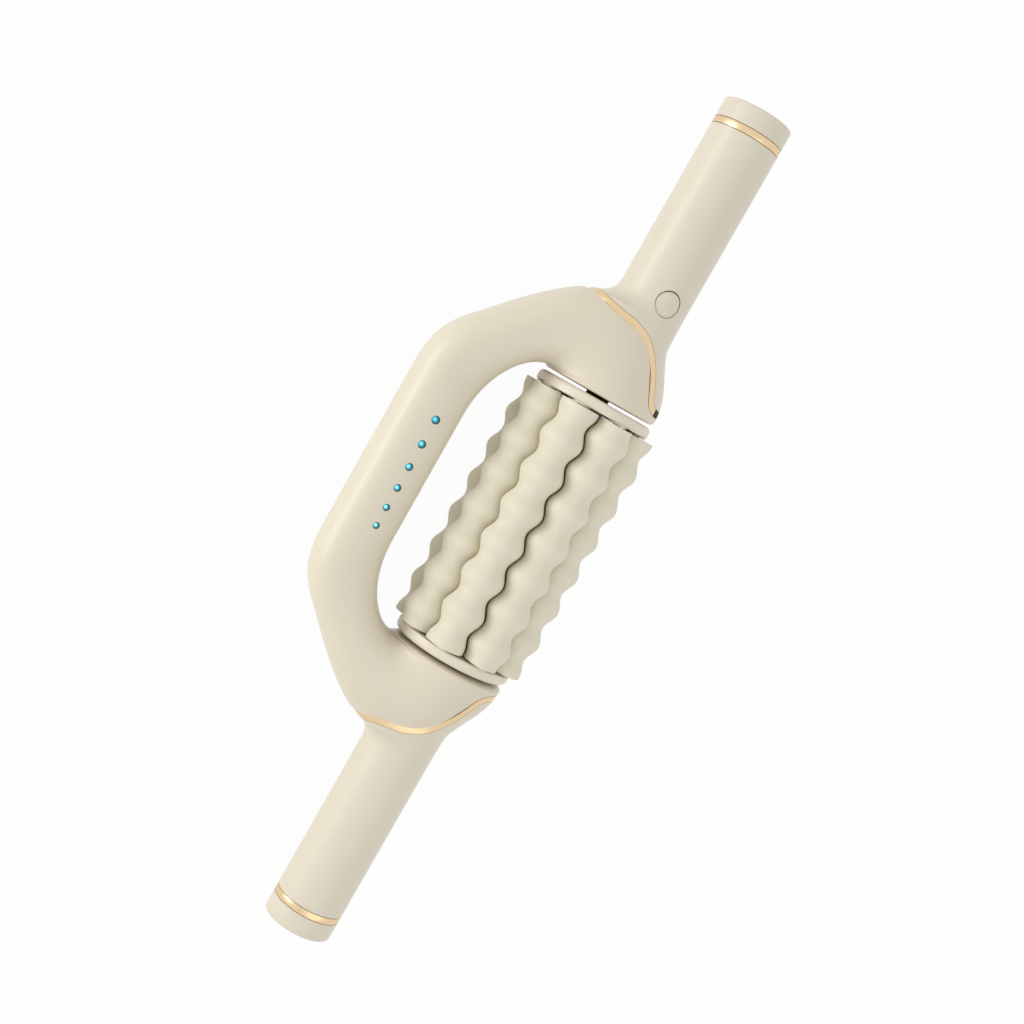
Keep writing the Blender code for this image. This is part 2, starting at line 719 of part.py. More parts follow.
def make_electronics(stem_low):
    """Main board and push switch in the upper tube, battery in the lower tube."""
    board_top = MAIN_BOARD_LEVEL + BOARD_THICKNESS
    half_width = math.sqrt(TUBE_BORE ** 2 - board_top ** 2) - WALL_CLEARANCE
    start = BUTTON_X - MAIN_BOARD_LEAD
    box("main_board", (start, -half_width, MAIN_BOARD_LEVEL),
        (start + MAIN_BOARD_LENGTH, half_width, board_top), BOARD)
    half_side = SWITCH_SIDE / 2
    switch_y = -BUTTON_OFFSET
    box("push_switch", (BUTTON_X - half_side, switch_y - half_side, board_top + GAP),
        (BUTTON_X + half_side, switch_y + half_side, stem_low - BUTTON_TRAVEL - GAP),
        INNER_PLASTIC)
    cell_x = -CAP_X + CAP_SKIRT_LENGTH + CELL_LEAD
    cell_top = CELL_LENGTH - CELL_TIP_LENGTH
    cell = [(0, CELL_LENGTH), (CELL_TIP_RADIUS, CELL_LENGTH), (CELL_TIP_RADIUS, cell_top)]
    cell += [(CELL_RADIUS, cell_top), (CELL_RADIUS, 0), (0, 0)]
    turned("battery_cell", cell, BATTERY, location=(cell_x, 0, 0))
    sleeve = tube_profile(TUBE_BORE - WALL_CLEARANCE, CELL_RADIUS + GAP, CELL_HOLDER_INSET,
                          CELL_LENGTH - CELL_HOLDER_INSET)
    turned("battery_holder", sleeve, INNER_PLASTIC, location=(cell_x, 0, 0), ring=True)


def make_drive():
    """Bearings in their carriers at both hubs, gearbox and motor at the upper one."""
    bearing = tube_profile(BEARING_RADIUS, SHAFT_RADIUS + GAP, CARRIER_X,
                           CARRIER_X + BEARING_THICKNESS)
    carrier = tube_profile(CARRIER_RADIUS, BEARING_RADIUS + GAP, CARRIER_X,
                           CARRIER_X + BEARING_THICKNESS)
    for end, sign in (("upper", 1), ("lower", -1)):
        rotation = (0, sign * TURN_TO_X, 0)
        turned(end + "_bearing", bearing, MOTOR_METAL, rotation=rotation, ring=True)
        turned(end + "_bearing_carrier", carrier, INNER_PLASTIC, rotation=rotation, ring=True)
    socket = GEARBOX_X + SHAFT_ENGAGEMENT
    gearbox_end = GEARBOX_X + GEARBOX_LENGTH
    gearbox = [(0, gearbox_end), (GEARBOX_RADIUS, gearbox_end), (GEARBOX_RADIUS, GEARBOX_X)]
    gearbox += [(SHAFT_RADIUS + GAP, GEARBOX_X), (SHAFT_RADIUS + GAP, socket), (0, socket)]
    turned("gearbox", gearbox, MOTOR_METAL)
    motor_end = MOTOR_X + MOTOR_LENGTH
    tail = motor_end + MOTOR_TAIL_LENGTH
    motor = [(0, tail), (MOTOR_TAIL_RADIUS, tail), (MOTOR_TAIL_RADIUS, motor_end)]
    motor += [(MOTOR_RADIUS, motor_end), (MOTOR_RADIUS, MOTOR_X), (0, MOTOR_X)]
    turned("gear_motor", motor, MOTOR_METAL)


def rod_centre(index):
    """A rod's place on the drum, in the drum's Y-Z plane."""
    angle = ROD_FIRST_ANGLE + math.tau * index / ROD_COUNT
    return -ROD_CIRCLE_RADIUS * math.sin(angle), ROD_CIRCLE_RADIUS * math.cos(angle)


def rod_circle_cutter(name, radius, ends, sides):
    """Eight short cylinders on the rods' circle, as one cutter."""
    low, high = sorted(ends)

    def build(body):
        for index in range(ROD_COUNT):
            y, z = rod_centre(index)
            matrix = Matrix.Translation(((low + high) / 2, y, z))
            matrix = matrix @ Matrix.Rotation(TURN_TO_X, 4, "Y")
            bmesh.ops.create_cone(body, cap_ends=True, segments=sides, radius1=radius,
                                  radius2=radius, depth=high - low, matrix=matrix)

    return place(name, mesh_from(name, build))


def make_drum():
    """Core, shafts, end discs and the eight rods on their pins. Each disc has a low boss round
    every pin, which keeps the rod's end off the disc's face."""
    core = tube_profile(CORE_RADIUS, CORE_RADIUS - CORE_WALL, -ROD_HALF_LENGTH, ROD_HALF_LENGTH)
    turned("core_tube", core, ALUMINIUM, ring=True)
    plug_radius = CORE_RADIUS - CORE_WALL - GAP
    hole = PIN_RADIUS + GAP
    disc_end = DISC_X + DISC_THICKNESS
    disc = rounded_corner(DISC_RADIUS, disc_end, DISC_OUTER_ROUNDING)
    disc += rounded_corner(DISC_RADIUS, DISC_X, DISC_ROUNDING, upward=False)
    disc += [(SHAFT_RADIUS + GAP, DISC_X), (SHAFT_RADIUS + GAP, disc_end)]
    boss_x = DISC_X - BOSS_HEIGHT
    shaft_ends = {"upper": GEARBOX_X + SHAFT_ENGAGEMENT - GAP,
                  "lower": CARRIER_X + BEARING_THICKNESS}
    pin_half = DISC_X + PIN_ENGAGEMENT
    for end, sign in (("upper", 1), ("lower", -1)):
        rotation = (0, sign * TURN_TO_X, 0)
        shaft = [(0, shaft_ends[end]), (SHAFT_RADIUS, shaft_ends[end])]
        shaft += [(SHAFT_RADIUS, ROD_HALF_LENGTH), (plug_radius, ROD_HALF_LENGTH)]
        shaft += [(plug_radius, ROD_HALF_LENGTH - SHAFT_PLUG_LENGTH)]
        shaft += [(0, ROD_HALF_LENGTH - SHAFT_PLUG_LENGTH)]
        turned(end + "_shaft", shaft, STEEL, rotation=rotation)
        bosses = rod_circle_cutter(end + "_bosses", BOSS_RADIUS,
                                   (sign * boss_x, sign * (DISC_X + BOSS_HEIGHT)), SMALL_SIDES)
        holes = rod_circle_cutter(end + "_pin_holes", hole,
                                  (sign * (boss_x - OVERRUN), sign * (pin_half + GAP)), PIN_SIDES)
        end_disc = turned(end + "_end_disc", disc, HANDLE, rotation=rotation, steps=DISC_SIDES,
                          ring=True)
        cut(end_disc, bosses, "UNION")
        cut(end_disc, holes)
    for index in range(ROD_COUNT):
        y, z = rod_centre(index)
        turned(f"rod_pin_{index + 1}", plain_cylinder(PIN_RADIUS, -pin_half, pin_half), STEEL,
               location=(0, y, z), steps=PIN_SIDES)
        turned(f"massage_rod_{index + 1}", rod_profile(index), SILICONE, location=(0, y, z),
               steps=ROD_SIDES, ring=True)


def rod_profile(index):
    """A waved rod with a bore for its pin. Neighbours are half a wave apart, so their crests lie
    in each other's hollows."""
    crest = -1 if index % 2 else 1
    steps = ROD_WAVES * ROD_WAVE_STEPS
    points = []
    for step in range(steps + 1):
        x = ROD_HALF_LENGTH * (1 - 2 * step / steps)
        wave = math.cos(math.tau * x / ROD_WAVE_PITCH)
        points.append((ROD_MEAN_RADIUS + crest * ROD_WAVE_HEIGHT * wave, x))
    bore = PIN_RADIUS + GAP
    points += [(bore, -ROD_HALF_LENGTH), (bore, ROD_HALF_LENGTH)]
    return points


make_housing()
make_tube_handles()
make_tube_ends()
make_indicators()
make_electronics(make_button())
make_drive()
make_drum()
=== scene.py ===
# %% [markdown]
# # A roller massager
# The real object is a hand-held massager about half a metre long. A motor turns a drum of eight
# waved silicone rods inside a C-shaped plastic housing. The plain solids of every part are loaded
# first, because they fix where each piece is. The fine surface is then built around them.

# %% Load the solids
import json
import math

import bmesh
import bpy
from mathutils import Matrix, Vector


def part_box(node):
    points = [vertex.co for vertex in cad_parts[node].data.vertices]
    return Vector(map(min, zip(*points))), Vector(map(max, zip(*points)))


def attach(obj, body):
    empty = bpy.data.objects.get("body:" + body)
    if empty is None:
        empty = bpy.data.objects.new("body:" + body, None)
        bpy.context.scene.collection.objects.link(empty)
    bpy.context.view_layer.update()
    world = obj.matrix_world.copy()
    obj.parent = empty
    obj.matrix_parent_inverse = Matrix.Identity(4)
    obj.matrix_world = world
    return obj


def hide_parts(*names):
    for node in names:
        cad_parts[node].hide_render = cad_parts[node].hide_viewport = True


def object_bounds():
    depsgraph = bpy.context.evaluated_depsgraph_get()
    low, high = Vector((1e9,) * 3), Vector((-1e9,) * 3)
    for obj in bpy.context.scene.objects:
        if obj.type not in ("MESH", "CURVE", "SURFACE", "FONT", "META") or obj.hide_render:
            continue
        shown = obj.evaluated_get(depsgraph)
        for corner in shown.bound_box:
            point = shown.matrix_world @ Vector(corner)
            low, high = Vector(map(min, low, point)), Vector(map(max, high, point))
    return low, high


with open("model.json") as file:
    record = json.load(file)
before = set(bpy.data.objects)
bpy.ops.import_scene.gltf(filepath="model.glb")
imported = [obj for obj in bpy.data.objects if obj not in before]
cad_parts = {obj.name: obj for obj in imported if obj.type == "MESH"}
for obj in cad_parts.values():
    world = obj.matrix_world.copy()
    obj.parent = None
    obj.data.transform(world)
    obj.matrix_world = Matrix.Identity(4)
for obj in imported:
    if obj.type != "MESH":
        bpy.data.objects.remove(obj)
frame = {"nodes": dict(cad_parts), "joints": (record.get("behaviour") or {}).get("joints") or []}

solid_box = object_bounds()

# %% [markdown]
# ## Sizes
# The main axis runs along X through the drum and both tube handles. Its place, and the sizes that
# a plain solid shows directly, are read from the solids. The housing's own sizes are driving
# dimensions in metres, and the rest follows from them.

# %% Read the sizes of the solids
ROD_COUNT = 8
LENS_COUNT = 6
joints = {joint["name"]: joint for joint in frame["joints"]}
AXIS_Y = joints["drum_spin"]["pos_m"][1]
cap_low, cap_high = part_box("upper_end_cap")
ring_low, ring_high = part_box("upper_trim_ring")
disc_low, disc_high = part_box("upper_end_disc")
END_X = cap_high.x
TUBE_RADIUS = (cap_high.y - cap_low.y) / 2
DISC_RADIUS = (disc_high.y - disc_low.y) / 2
ROD_HALF_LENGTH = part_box("massage_rod_1")[1].x
print("half length", round(END_X, 4), "tube radius", round(TUBE_RADIUS, 4))

# %% Sizes of the housing
GAP = 0.0003
SEAM_GAP = 0.0002
RUNNING_GAP = 0.0018
HUB_STEP = 0.0005
UPPER_HUB_ROUNDING = 0.002
LOWER_HUB_ROUNDING = 0.007
ELBOW_RISE = 0.04725
GRIP_WIDTH = 0.034
GRIP_DEPTH = 0.032
INNER_BEND_RUN = 0.0422
INNER_BEND_START = 0.002
INNER_BEND_DEPTH = 0.0013
OUTER_BEND_RUN = 0.03625
WALL = 0.0015
SHAFT_RADIUS = 0.0065
HUB_FACE_X = disc_high.x + RUNNING_GAP
HUB_RADIUS = DISC_RADIUS - HUB_STEP
GRIP_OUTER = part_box("front_shell")[1].y - AXIS_Y
GRIP_INNER = GRIP_OUTER - GRIP_WIDTH
SHOULDER_X = HUB_FACE_X + ELBOW_RISE
print("hub face at x", round(HUB_FACE_X, 5), "grip from", round(GRIP_INNER, 5))

# %% [markdown]
# ## Camera
# The photograph was taken from about 0.87 m with a moderately long lens, a little round to the
# grip's side and a little toward the button end. The camera is built from those angles: first
# the two directions that the object's length and width take on screen, then the roll of the
# picture.

# %% Camera
LENGTHWISE_TILT = math.radians(4.5)
SIDEWAYS_TURN = math.radians(20)
LEAN = math.radians(29.74)
CAMERA_DISTANCE = 0.8647
AIM = Vector((0.0041, AXIS_Y + 0.0082, -0.003))
LENS_MM = 58.8

toward = Vector((math.sin(LENGTHWISE_TILT),
                 math.cos(LENGTHWISE_TILT) * math.sin(SIDEWAYS_TURN),
                 math.cos(LENGTHWISE_TILT) * math.cos(SIDEWAYS_TURN)))
width_way = Vector((0, -math.cos(SIDEWAYS_TURN), math.sin(SIDEWAYS_TURN)))
length_way = toward.cross(width_way)
right = math.sin(LEAN) * length_way + math.cos(LEAN) * width_way
up = math.cos(LEAN) * length_way - math.sin(LEAN) * width_way
camera_data = bpy.data.cameras.new("photo_camera")
camera_data.lens = LENS_MM
camera = bpy.data.objects.new("photo_camera", camera_data)
camera.matrix_world = Matrix.Translation(AIM + toward * CAMERA_DISTANCE) @ Matrix(
    (right, up, toward)).transposed().to_4x4()
bpy.context.scene.collection.objects.link(camera)
bpy.context.scene.camera = camera
bpy.context.scene.view_settings.view_transform = "Standard"
print("camera at", [round(v, 3) for v in camera.location])

# %% [markdown]
# ## A helper for nodes, and colours
# Every finish below is a short chain of shader nodes. One function adds a node with its settings
# and links. Sockets go by their names, but a Mix node has several of the same name, so the two
# colours that it runs between and its result go by their numbers. Colours are written as screen
# colours, the way a paint chart gives them, and turned into the linear light that the shaders
# work in.

# %% Helper for nodes and colours
MIX_FROM = 6
MIX_TO = 7
MIX_RESULT = 2


def add_node(tree, kind, sockets=(), **settings):
    """Add a node. Sockets are given values or the outputs that they are linked to."""
    node = tree.nodes.new(kind)
    for name, value in settings.items():
        setattr(node, name, value)
    for socket, value in dict(sockets).items():
        if isinstance(value, bpy.types.NodeSocket):
            tree.links.new(value, node.inputs[socket])
        else:
            node.inputs[socket].default_value = value
    return node


def linear(hex_colour):
    """A screen colour such as D8D0BE as linear light."""
    channels = [int(hex_colour[start:start + 2], 16) / 255 for start in (0, 2, 4)]
    light = [c / 12.92 if c <= 0.04045 else ((c + 0.055) / 1.055) ** 2.4 for c in channels]
    return (*light, 1)


def finish(name, colour, roughness, metallic=0.0, ior=1.5):
    """A Principled material with its plain values set."""
    material = bpy.data.materials.new(name)
    material.use_nodes = True
    shader = material.node_tree.nodes["Principled BSDF"]
    shader.inputs["Base Color"].default_value = linear(colour)
    shader.inputs["Roughness"].default_value = roughness
    shader.inputs["Metallic"].default_value = metallic
    shader.inputs["IOR"].default_value = ior
    return material, material.node_tree, shader


print("cream", [round(c, 3) for c in linear("D8D0BE")[:3]])

# %% [markdown]
# ## Floor, background and light
# The massager lies on a plain pale floor in an even, soft light. The floor and the world look
# white to the camera and in reflections, while they light the object at a lower level, so the
# cream plastic isn't washed out. The floor keeps a faint shadow. A large soft lamp, low on the
# grip's side, makes the tubes lighter along that edge, as in the photograph, and a weaker one
# from the far side keeps the other edge from getting too dark. Where a lamp stands is given on
# the picture: so far to the right, so far up, and so far toward the camera.

# %% Floor and world
FLOOR_SIZE = 12.0
FLOOR_WHITENESS = 0.95
SKY_STRENGTH = 0.76
SEEN_STRENGTH = 1.0
WHITE = linear("FFFFFF")


def seen_rays(tree):
    """1 for rays that show the background itself, straight, mirrored or through glass."""
    path = add_node(tree, "ShaderNodeLightPath")
    seen = path.outputs["Is Camera Ray"]
    for kind in ("Is Glossy Ray", "Is Transmission Ray"):
        seen = add_node(tree, "ShaderNodeMath", {0: seen, 1: path.outputs[kind]},
                        operation="MAXIMUM").outputs[0]
    return seen


floor_form = bmesh.new()
bmesh.ops.create_grid(floor_form, x_segments=1, y_segments=1, size=FLOOR_SIZE / 2,
                      matrix=Matrix.Translation((0, 0, solid_box[0].z)))
floor_mesh = bpy.data.meshes.new("floor")
floor_form.to_mesh(floor_mesh)
floor_form.free()
floor = bpy.data.objects.new("floor", floor_mesh)
bpy.context.scene.collection.objects.link(floor)

floor_paint, tree, shader = finish("white_studio_floor", "F4F2EE", 0.9)
share = add_node(tree, "ShaderNodeMath", {0: seen_rays(tree), 1: FLOOR_WHITENESS},
                 operation="MULTIPLY")
glow = add_node(tree, "ShaderNodeEmission", {"Color": WHITE, "Strength": SEEN_STRENGTH})
blend = add_node(tree, "ShaderNodeMixShader", {0: share.outputs[0], 1: shader.outputs[0],
                                               2: glow.outputs[0]})
tree.links.new(blend.outputs[0], tree.nodes["Material Output"].inputs["Surface"])
floor_mesh.materials.append(floor_paint)

world = bpy.data.worlds.new("studio")
bpy.context.scene.world = world
world.use_nodes = True
tree = world.node_tree
level = add_node(tree, "ShaderNodeMapRange", {"Value": seen_rays(tree), "To Min": SKY_STRENGTH,
                                              "To Max": SEEN_STRENGTH})
tree.links.new(level.outputs[0], tree.nodes["Background"].inputs["Strength"])
tree.nodes["Background"].inputs["Color"].default_value = WHITE
print("floor at z", round(solid_box[0].z, 4))

# %% Lamps
KEY_WAY = (-0.86, 0.48, 0.33)
KEY_DISTANCE = 1.1
KEY_SIZE = 0.9
KEY_POWER = 10.7
FILL_WAY = (0.3, -0.6, 0.66)
FILL_DISTANCE = 1.4
FILL_SIZE = 1.2
FILL_POWER = 2.6


def add_lamp(name, way, distance, size, power):
    """A square soft lamp that faces the object."""
    lamp = bpy.data.lights.new(name, "AREA")
    lamp.size = size
    lamp.energy = power
    item = bpy.data.objects.new(name, lamp)
    direction = (way[0] * right + way[1] * up + way[2] * toward).normalized()
    item.location = AIM + direction * distance
    item.rotation_euler = direction.to_track_quat("Z", "Y").to_euler()
    bpy.context.scene.collection.objects.link(item)


add_lamp("key", KEY_WAY, KEY_DISTANCE, KEY_SIZE, KEY_POWER)
add_lamp("fill", FILL_WAY, FILL_DISTANCE, FILL_SIZE, FILL_POWER)
print("lamps:", len(bpy.data.lights))

# %% [markdown]
# ## Cream plastic
# Housing, handles, caps, discs and button are moulded ABS with a spark-eroded satin finish. The
# eye sees a broad soft highlight and a faint grain. The real grain is about 0.1 mm, too fine for
# the picture, so it is drawn at 0.5 mm and kept shallow. A second, slow noise shifts the colour
# by a hair, as in any large moulding. A picture of the grain would need every piece unwrapped. A
# noise needs none of that: it reads the piece's own coordinates in metres, and with lumps of one
# size its scale is one over that size.

# %% Moulded ABS
GRAIN_SIZE = 0.0005
GRAIN_HEIGHT = 0.000012
GRAIN_STRENGTH = 0.35
CLOUD_SIZE = 0.035
SATIN_LOW = 0.32
SATIN_HIGH = 0.44
ABS_IOR = 1.54


def satin_abs(name, light, dark):
    """Moulded ABS with a satin grain."""
    material, tree, shader = finish(name, light, (SATIN_LOW + SATIN_HIGH) / 2, ior=ABS_IOR)
    place = add_node(tree, "ShaderNodeTexCoord").outputs["Object"]
    cloud = add_node(tree, "ShaderNodeTexNoise", {"Vector": place, "Scale": 1 / CLOUD_SIZE,
                                                  "Detail": 2.0}).outputs["Fac"]
    grain = add_node(tree, "ShaderNodeTexNoise", {"Vector": place, "Scale": 1 / GRAIN_SIZE,
                                                  "Detail": 3.0}).outputs["Fac"]
    tint = add_node(tree, "ShaderNodeMix", {"Factor": cloud, MIX_FROM: linear(dark),
                                            MIX_TO: linear(light)}, data_type="RGBA")
    satin = add_node(tree, "ShaderNodeMapRange", {"Value": grain, "To Min": SATIN_LOW,
                                                  "To Max": SATIN_HIGH})
    bump = add_node(tree, "ShaderNodeBump", {"Height": grain, "Strength": GRAIN_STRENGTH,
                                             "Distance": GRAIN_HEIGHT})
    tree.links.new(tint.outputs[MIX_RESULT], shader.inputs["Base Color"])
    tree.links.new(satin.outputs[0], shader.inputs["Roughness"])
    tree.links.new(bump.outputs[0], shader.inputs["Normal"])
    return material


HOUSING_ABS = satin_abs("housing_satin_abs", "DDD4BF", "D8CFBA")
HANDLE_ABS = satin_abs("handle_satin_abs", "DCD4C0", "D7CFBB")
DISC_ABS = satin_abs("disc_satin_abs", "E2DAC6", "DDD5C1")
BUTTON_ABS = satin_abs("button_satin_abs", "DDD5C1", "D8D0BC")
print("plastics:", HOUSING_ABS.name, HANDLE_ABS.name, DISC_ABS.name, BUTTON_ABS.name)

# %% [markdown]
# ## Silicone
# The rods are cast silicone rubber. It is softer to the eye than the plastic: some of the light
# goes a millimetre or two into it, and the skin is matte with a trace of moulding haze. A plain
# surface would leave the hollows greyer, so a little subsurface light is mixed in.

# %% Cast silicone
HAZE_SIZE = 0.006
SKIN_SIZE = 0.0006
SKIN_HEIGHT = 0.00002
SKIN_STRENGTH = 0.3
MATTE_LOW = 0.5
MATTE_HIGH = 0.64
SILICONE_IOR = 1.41
LIGHT_SHARE = 0.06
LIGHT_DEPTH = 0.002
LIGHT_DEPTH_BY_COLOUR = (1.0, 0.8, 0.55)


def cast_silicone():
    """Cream silicone rubber with a matte skin."""
    material, tree, shader = finish("rod_cast_silicone", "E0DAC5", (MATTE_LOW + MATTE_HIGH) / 2,
                                    ior=SILICONE_IOR)
    shader.inputs["Subsurface Weight"].default_value = LIGHT_SHARE
    shader.inputs["Subsurface Radius"].default_value = LIGHT_DEPTH_BY_COLOUR
    shader.inputs["Subsurface Scale"].default_value = LIGHT_DEPTH
    place = add_node(tree, "ShaderNodeTexCoord").outputs["Object"]
    haze = add_node(tree, "ShaderNodeTexNoise", {"Vector": place, "Scale": 1 / HAZE_SIZE,
                                                 "Detail": 3.0}).outputs["Fac"]
    skin = add_node(tree, "ShaderNodeTexNoise", {"Vector": place, "Scale": 1 / SKIN_SIZE,
                                                 "Detail": 2.0}).outputs["Fac"]
    tint = add_node(tree, "ShaderNodeMix", {"Factor": haze, MIX_FROM: linear("DDD7C1"),
                                            MIX_TO: linear("E3DDCA")}, data_type="RGBA")
    matte = add_node(tree, "ShaderNodeMapRange", {"Value": haze, "To Min": MATTE_LOW,
                                                  "To Max": MATTE_HIGH})
    bump = add_node(tree, "ShaderNodeBump", {"Height": skin, "Strength": SKIN_STRENGTH,
                                             "Distance": SKIN_HEIGHT})
    tree.links.new(tint.outputs[MIX_RESULT], shader.inputs["Base Color"])
    tree.links.new(matte.outputs[0], shader.inputs["Roughness"])
    tree.links.new(bump.outputs[0], shader.inputs["Normal"])
    return material


SILICONE = cast_silicone()
print(SILICONE.name)

# %% [markdown]
# ## Metals
# The trims are aluminium strip, brushed and then anodised champagne gold, which leaves fine lines
# along X. The shafts are steel, burnished dark, the core is turned aluminium, and the hidden cans
# are plated steel. One function makes them all: a metal's colour, its roughness, and lines of a
# real spacing. The noise is drawn out along the lines, and deep lines are a little darker. An
# anisotropic shader could stand for the lines, but drawn ones are kept by an export too.

# %% Metals
LINE_SHADE = 0.82
LINE_STRENGTH = 0.3
SHINE_SPREAD = 0.2
ALONG_X = (0.02, 1, 1)
AROUND_X = (1, 0.02, 0.02)


def worked_metal(name, colour, roughness, line_width, line_height, stretch=ALONG_X):
    """Metal with fine lines left by brushing or turning, darker where they are deep."""
    material, tree, shader = finish(name, colour, roughness, metallic=1.0)
    place = add_node(tree, "ShaderNodeTexCoord").outputs["Object"]
    drawn = add_node(tree, "ShaderNodeMapping", {"Vector": place, "Scale": stretch}).outputs[0]
    lines = add_node(tree, "ShaderNodeTexNoise", {"Vector": drawn, "Scale": 1 / line_width,
                                                  "Detail": 2.0}).outputs["Fac"]
    bright = linear(colour)
    shaded = (*(channel * LINE_SHADE for channel in bright[:3]), 1)
    tint = add_node(tree, "ShaderNodeMix", {"Factor": lines, MIX_FROM: shaded, MIX_TO: bright},
                    data_type="RGBA")
    uneven = add_node(tree, "ShaderNodeMapRange", {"Value": lines,
                                                   "To Min": roughness * (1 - SHINE_SPREAD),
                                                   "To Max": roughness * (1 + SHINE_SPREAD)})
    bump = add_node(tree, "ShaderNodeBump", {"Height": lines, "Strength": LINE_STRENGTH,
                                             "Distance": line_height})
    tree.links.new(tint.outputs[MIX_RESULT], shader.inputs["Base Color"])
    tree.links.new(uneven.outputs[0], shader.inputs["Roughness"])
    tree.links.new(bump.outputs[0], shader.inputs["Normal"])
    return material


GOLD = worked_metal("champagne_anodised_aluminium", "EDD2A8", 0.34, 0.0006, 0.000006)
SHAFT_STEEL = worked_metal("burnished_dark_steel", "6E563A", 0.4, 0.0006, 0.000006, AROUND_X)
CORE_METAL = worked_metal("turned_aluminium", "8C8A84", 0.42, 0.0008, 0.00001, AROUND_X)
CAN_METAL = worked_metal("plated_steel_can", "AAACAE", 0.32, 0.0008, 0.000008)
print("metals:", GOLD.name, SHAFT_STEEL.name, CORE_METAL.name, CAN_METAL.name)

# %% [markdown]
# ## Indicator lenses
# Each indicator is the clear turquoise end of a light pipe. It is drawn as a bead with a painted
# highlight: bright where it sits, dark teal round the rim. The same colour feeds a weak emission,
# so the painted highlight glows. The bead carries an attribute that says how near each point is
# to the painted highlight, and the colour follows it. Glass with a lamp behind it could do this
# too, but it renders slowly and most of it would be lost in an export.

# %% Turquoise polycarbonate with a painted highlight
# Strength of the painted glow, which makes the painted highlight shine.
PAINTED_HIGHLIGHT_GLOW = 0.4
POLYCARBONATE_IOR = 1.58
# Colours of the painted highlight, from the dark rim to the bright middle.
HIGHLIGHT_RAMP = ((0.25, "06687A"), (0.5, "1496A8"), (0.75, "3CCEDC"))


def polycarbonate_painted_highlight():
    """Clear turquoise plastic with a painted highlight that glows a little."""
    material, tree, shader = finish("turquoise_polycarbonate_painted_highlight", "1FA9BE", 0.08,
                                    ior=POLYCARBONATE_IOR)
    painted_highlight = add_node(tree, "ShaderNodeAttribute", attribute_name="painted_highlight").outputs["Fac"]
    ramp = add_node(tree, "ShaderNodeValToRGB", {"Fac": painted_highlight})
    ramp.color_ramp.elements[0].color = linear("004854")
    ramp.color_ramp.elements[1].color = linear("C8FFFF")
    for place, colour in HIGHLIGHT_RAMP:
        ramp.color_ramp.elements.new(place).color = linear(colour)
    tree.links.new(ramp.outputs[0], shader.inputs["Base Color"])
    # The colour also drives the emission: a painted glow on the painted highlight.
    tree.links.new(ramp.outputs[0], shader.inputs["Emission Color"])
    shader.inputs["Emission Strength"].default_value = PAINTED_HIGHLIGHT_GLOW
    return material


LENS_PAINTED_HIGHLIGHT = polycarbonate_painted_highlight()
print(LENS_PAINTED_HIGHLIGHT.name)

# %% [markdown]
# ## Finishes inside the housing, and of the dark piece at the strip's end
# The boards, the battery and the moulded carriers can't be seen from outside, but they are real
# pieces and get the finish that they would have: solder mask over copper tracks, a shrink sleeve
# with its wrinkles, and glass-filled nylon with its rough grain. The small dark piece at the end
# of the upper strip is a painted dark reflection: dull brown, with little shine, so it stays dark
# in this light.

# %% Board, sleeve and nylon
TRACK_PITCH = 0.0025
TRACK_WIDTH_SHARE = 0.12
TRACK_HEIGHT = 0.00004
TRACK_STRENGTH = 0.5
WRINKLE_SIZE = 0.004
SPECKLE_STRENGTH = 0.4
# Little shine keeps the painted dark reflection dark.
REFLECTION_PATCH_SHINE = 0.05


def solder_mask():
    """Green solder mask over copper tracks."""
    material, tree, shader = finish("green_solder_mask", "22603A", 0.35)
    place = add_node(tree, "ShaderNodeTexCoord").outputs["Object"]
    tracks = add_node(tree, "ShaderNodeTexBrick",
                      {"Vector": place, "Scale": 1 / TRACK_PITCH,
                       "Mortar Size": TRACK_WIDTH_SHARE, "Color1": linear("1E5A36"),
                       "Color2": linear("24683F"), "Mortar": linear("3C8A55")})
    bump = add_node(tree, "ShaderNodeBump", {"Height": tracks.outputs["Fac"],
                                             "Strength": TRACK_STRENGTH,
                                             "Distance": TRACK_HEIGHT})
    tree.links.new(tracks.outputs["Color"], shader.inputs["Base Color"])
    tree.links.new(bump.outputs[0], shader.inputs["Normal"])
    return material


def speckled_plastic(name, light, dark, roughness, size, height):
    """Plastic whose surface is a noise of one size."""
    material, tree, shader = finish(name, light, roughness)
    place = add_node(tree, "ShaderNodeTexCoord").outputs["Object"]
    noise = add_node(tree, "ShaderNodeTexNoise", {"Vector": place, "Scale": 1 / size,
                                                  "Detail": 4.0}).outputs["Fac"]
    tint = add_node(tree, "ShaderNodeMix", {"Factor": noise, MIX_FROM: linear(dark),
                                            MIX_TO: linear(light)}, data_type="RGBA")
    bump = add_node(tree, "ShaderNodeBump", {"Height": noise, "Strength": SPECKLE_STRENGTH,
                                             "Distance": height})
    tree.links.new(tint.outputs[MIX_RESULT], shader.inputs["Base Color"])
    tree.links.new(bump.outputs[0], shader.inputs["Normal"])
    return material


BOARD = solder_mask()
SLEEVE = speckled_plastic("pvc_shrink_sleeve", "3F68A8", "335894", 0.3, WRINKLE_SIZE, 0.00005)
NYLON = speckled_plastic("glass_filled_nylon", "3C3C3E", "2C2C2E", 0.6, 0.0008, 0.00002)
# A dull dark brown that paints the dark reflection at the end of the upper strip.
PAINTED_REFLECTION_DARK = speckled_plastic("dark_painted_reflection", "3C2A14", "2C1E0C", 0.5, 0.001, 0.00001)
reflection_patch_shader = PAINTED_REFLECTION_DARK.node_tree.nodes["Principled BSDF"]
reflection_patch_shader.inputs["Specular IOR Level"].default_value = REFLECTION_PATCH_SHINE
print("inner finishes:", BOARD.name, SLEEVE.name, NYLON.name, PAINTED_REFLECTION_DARK.name)

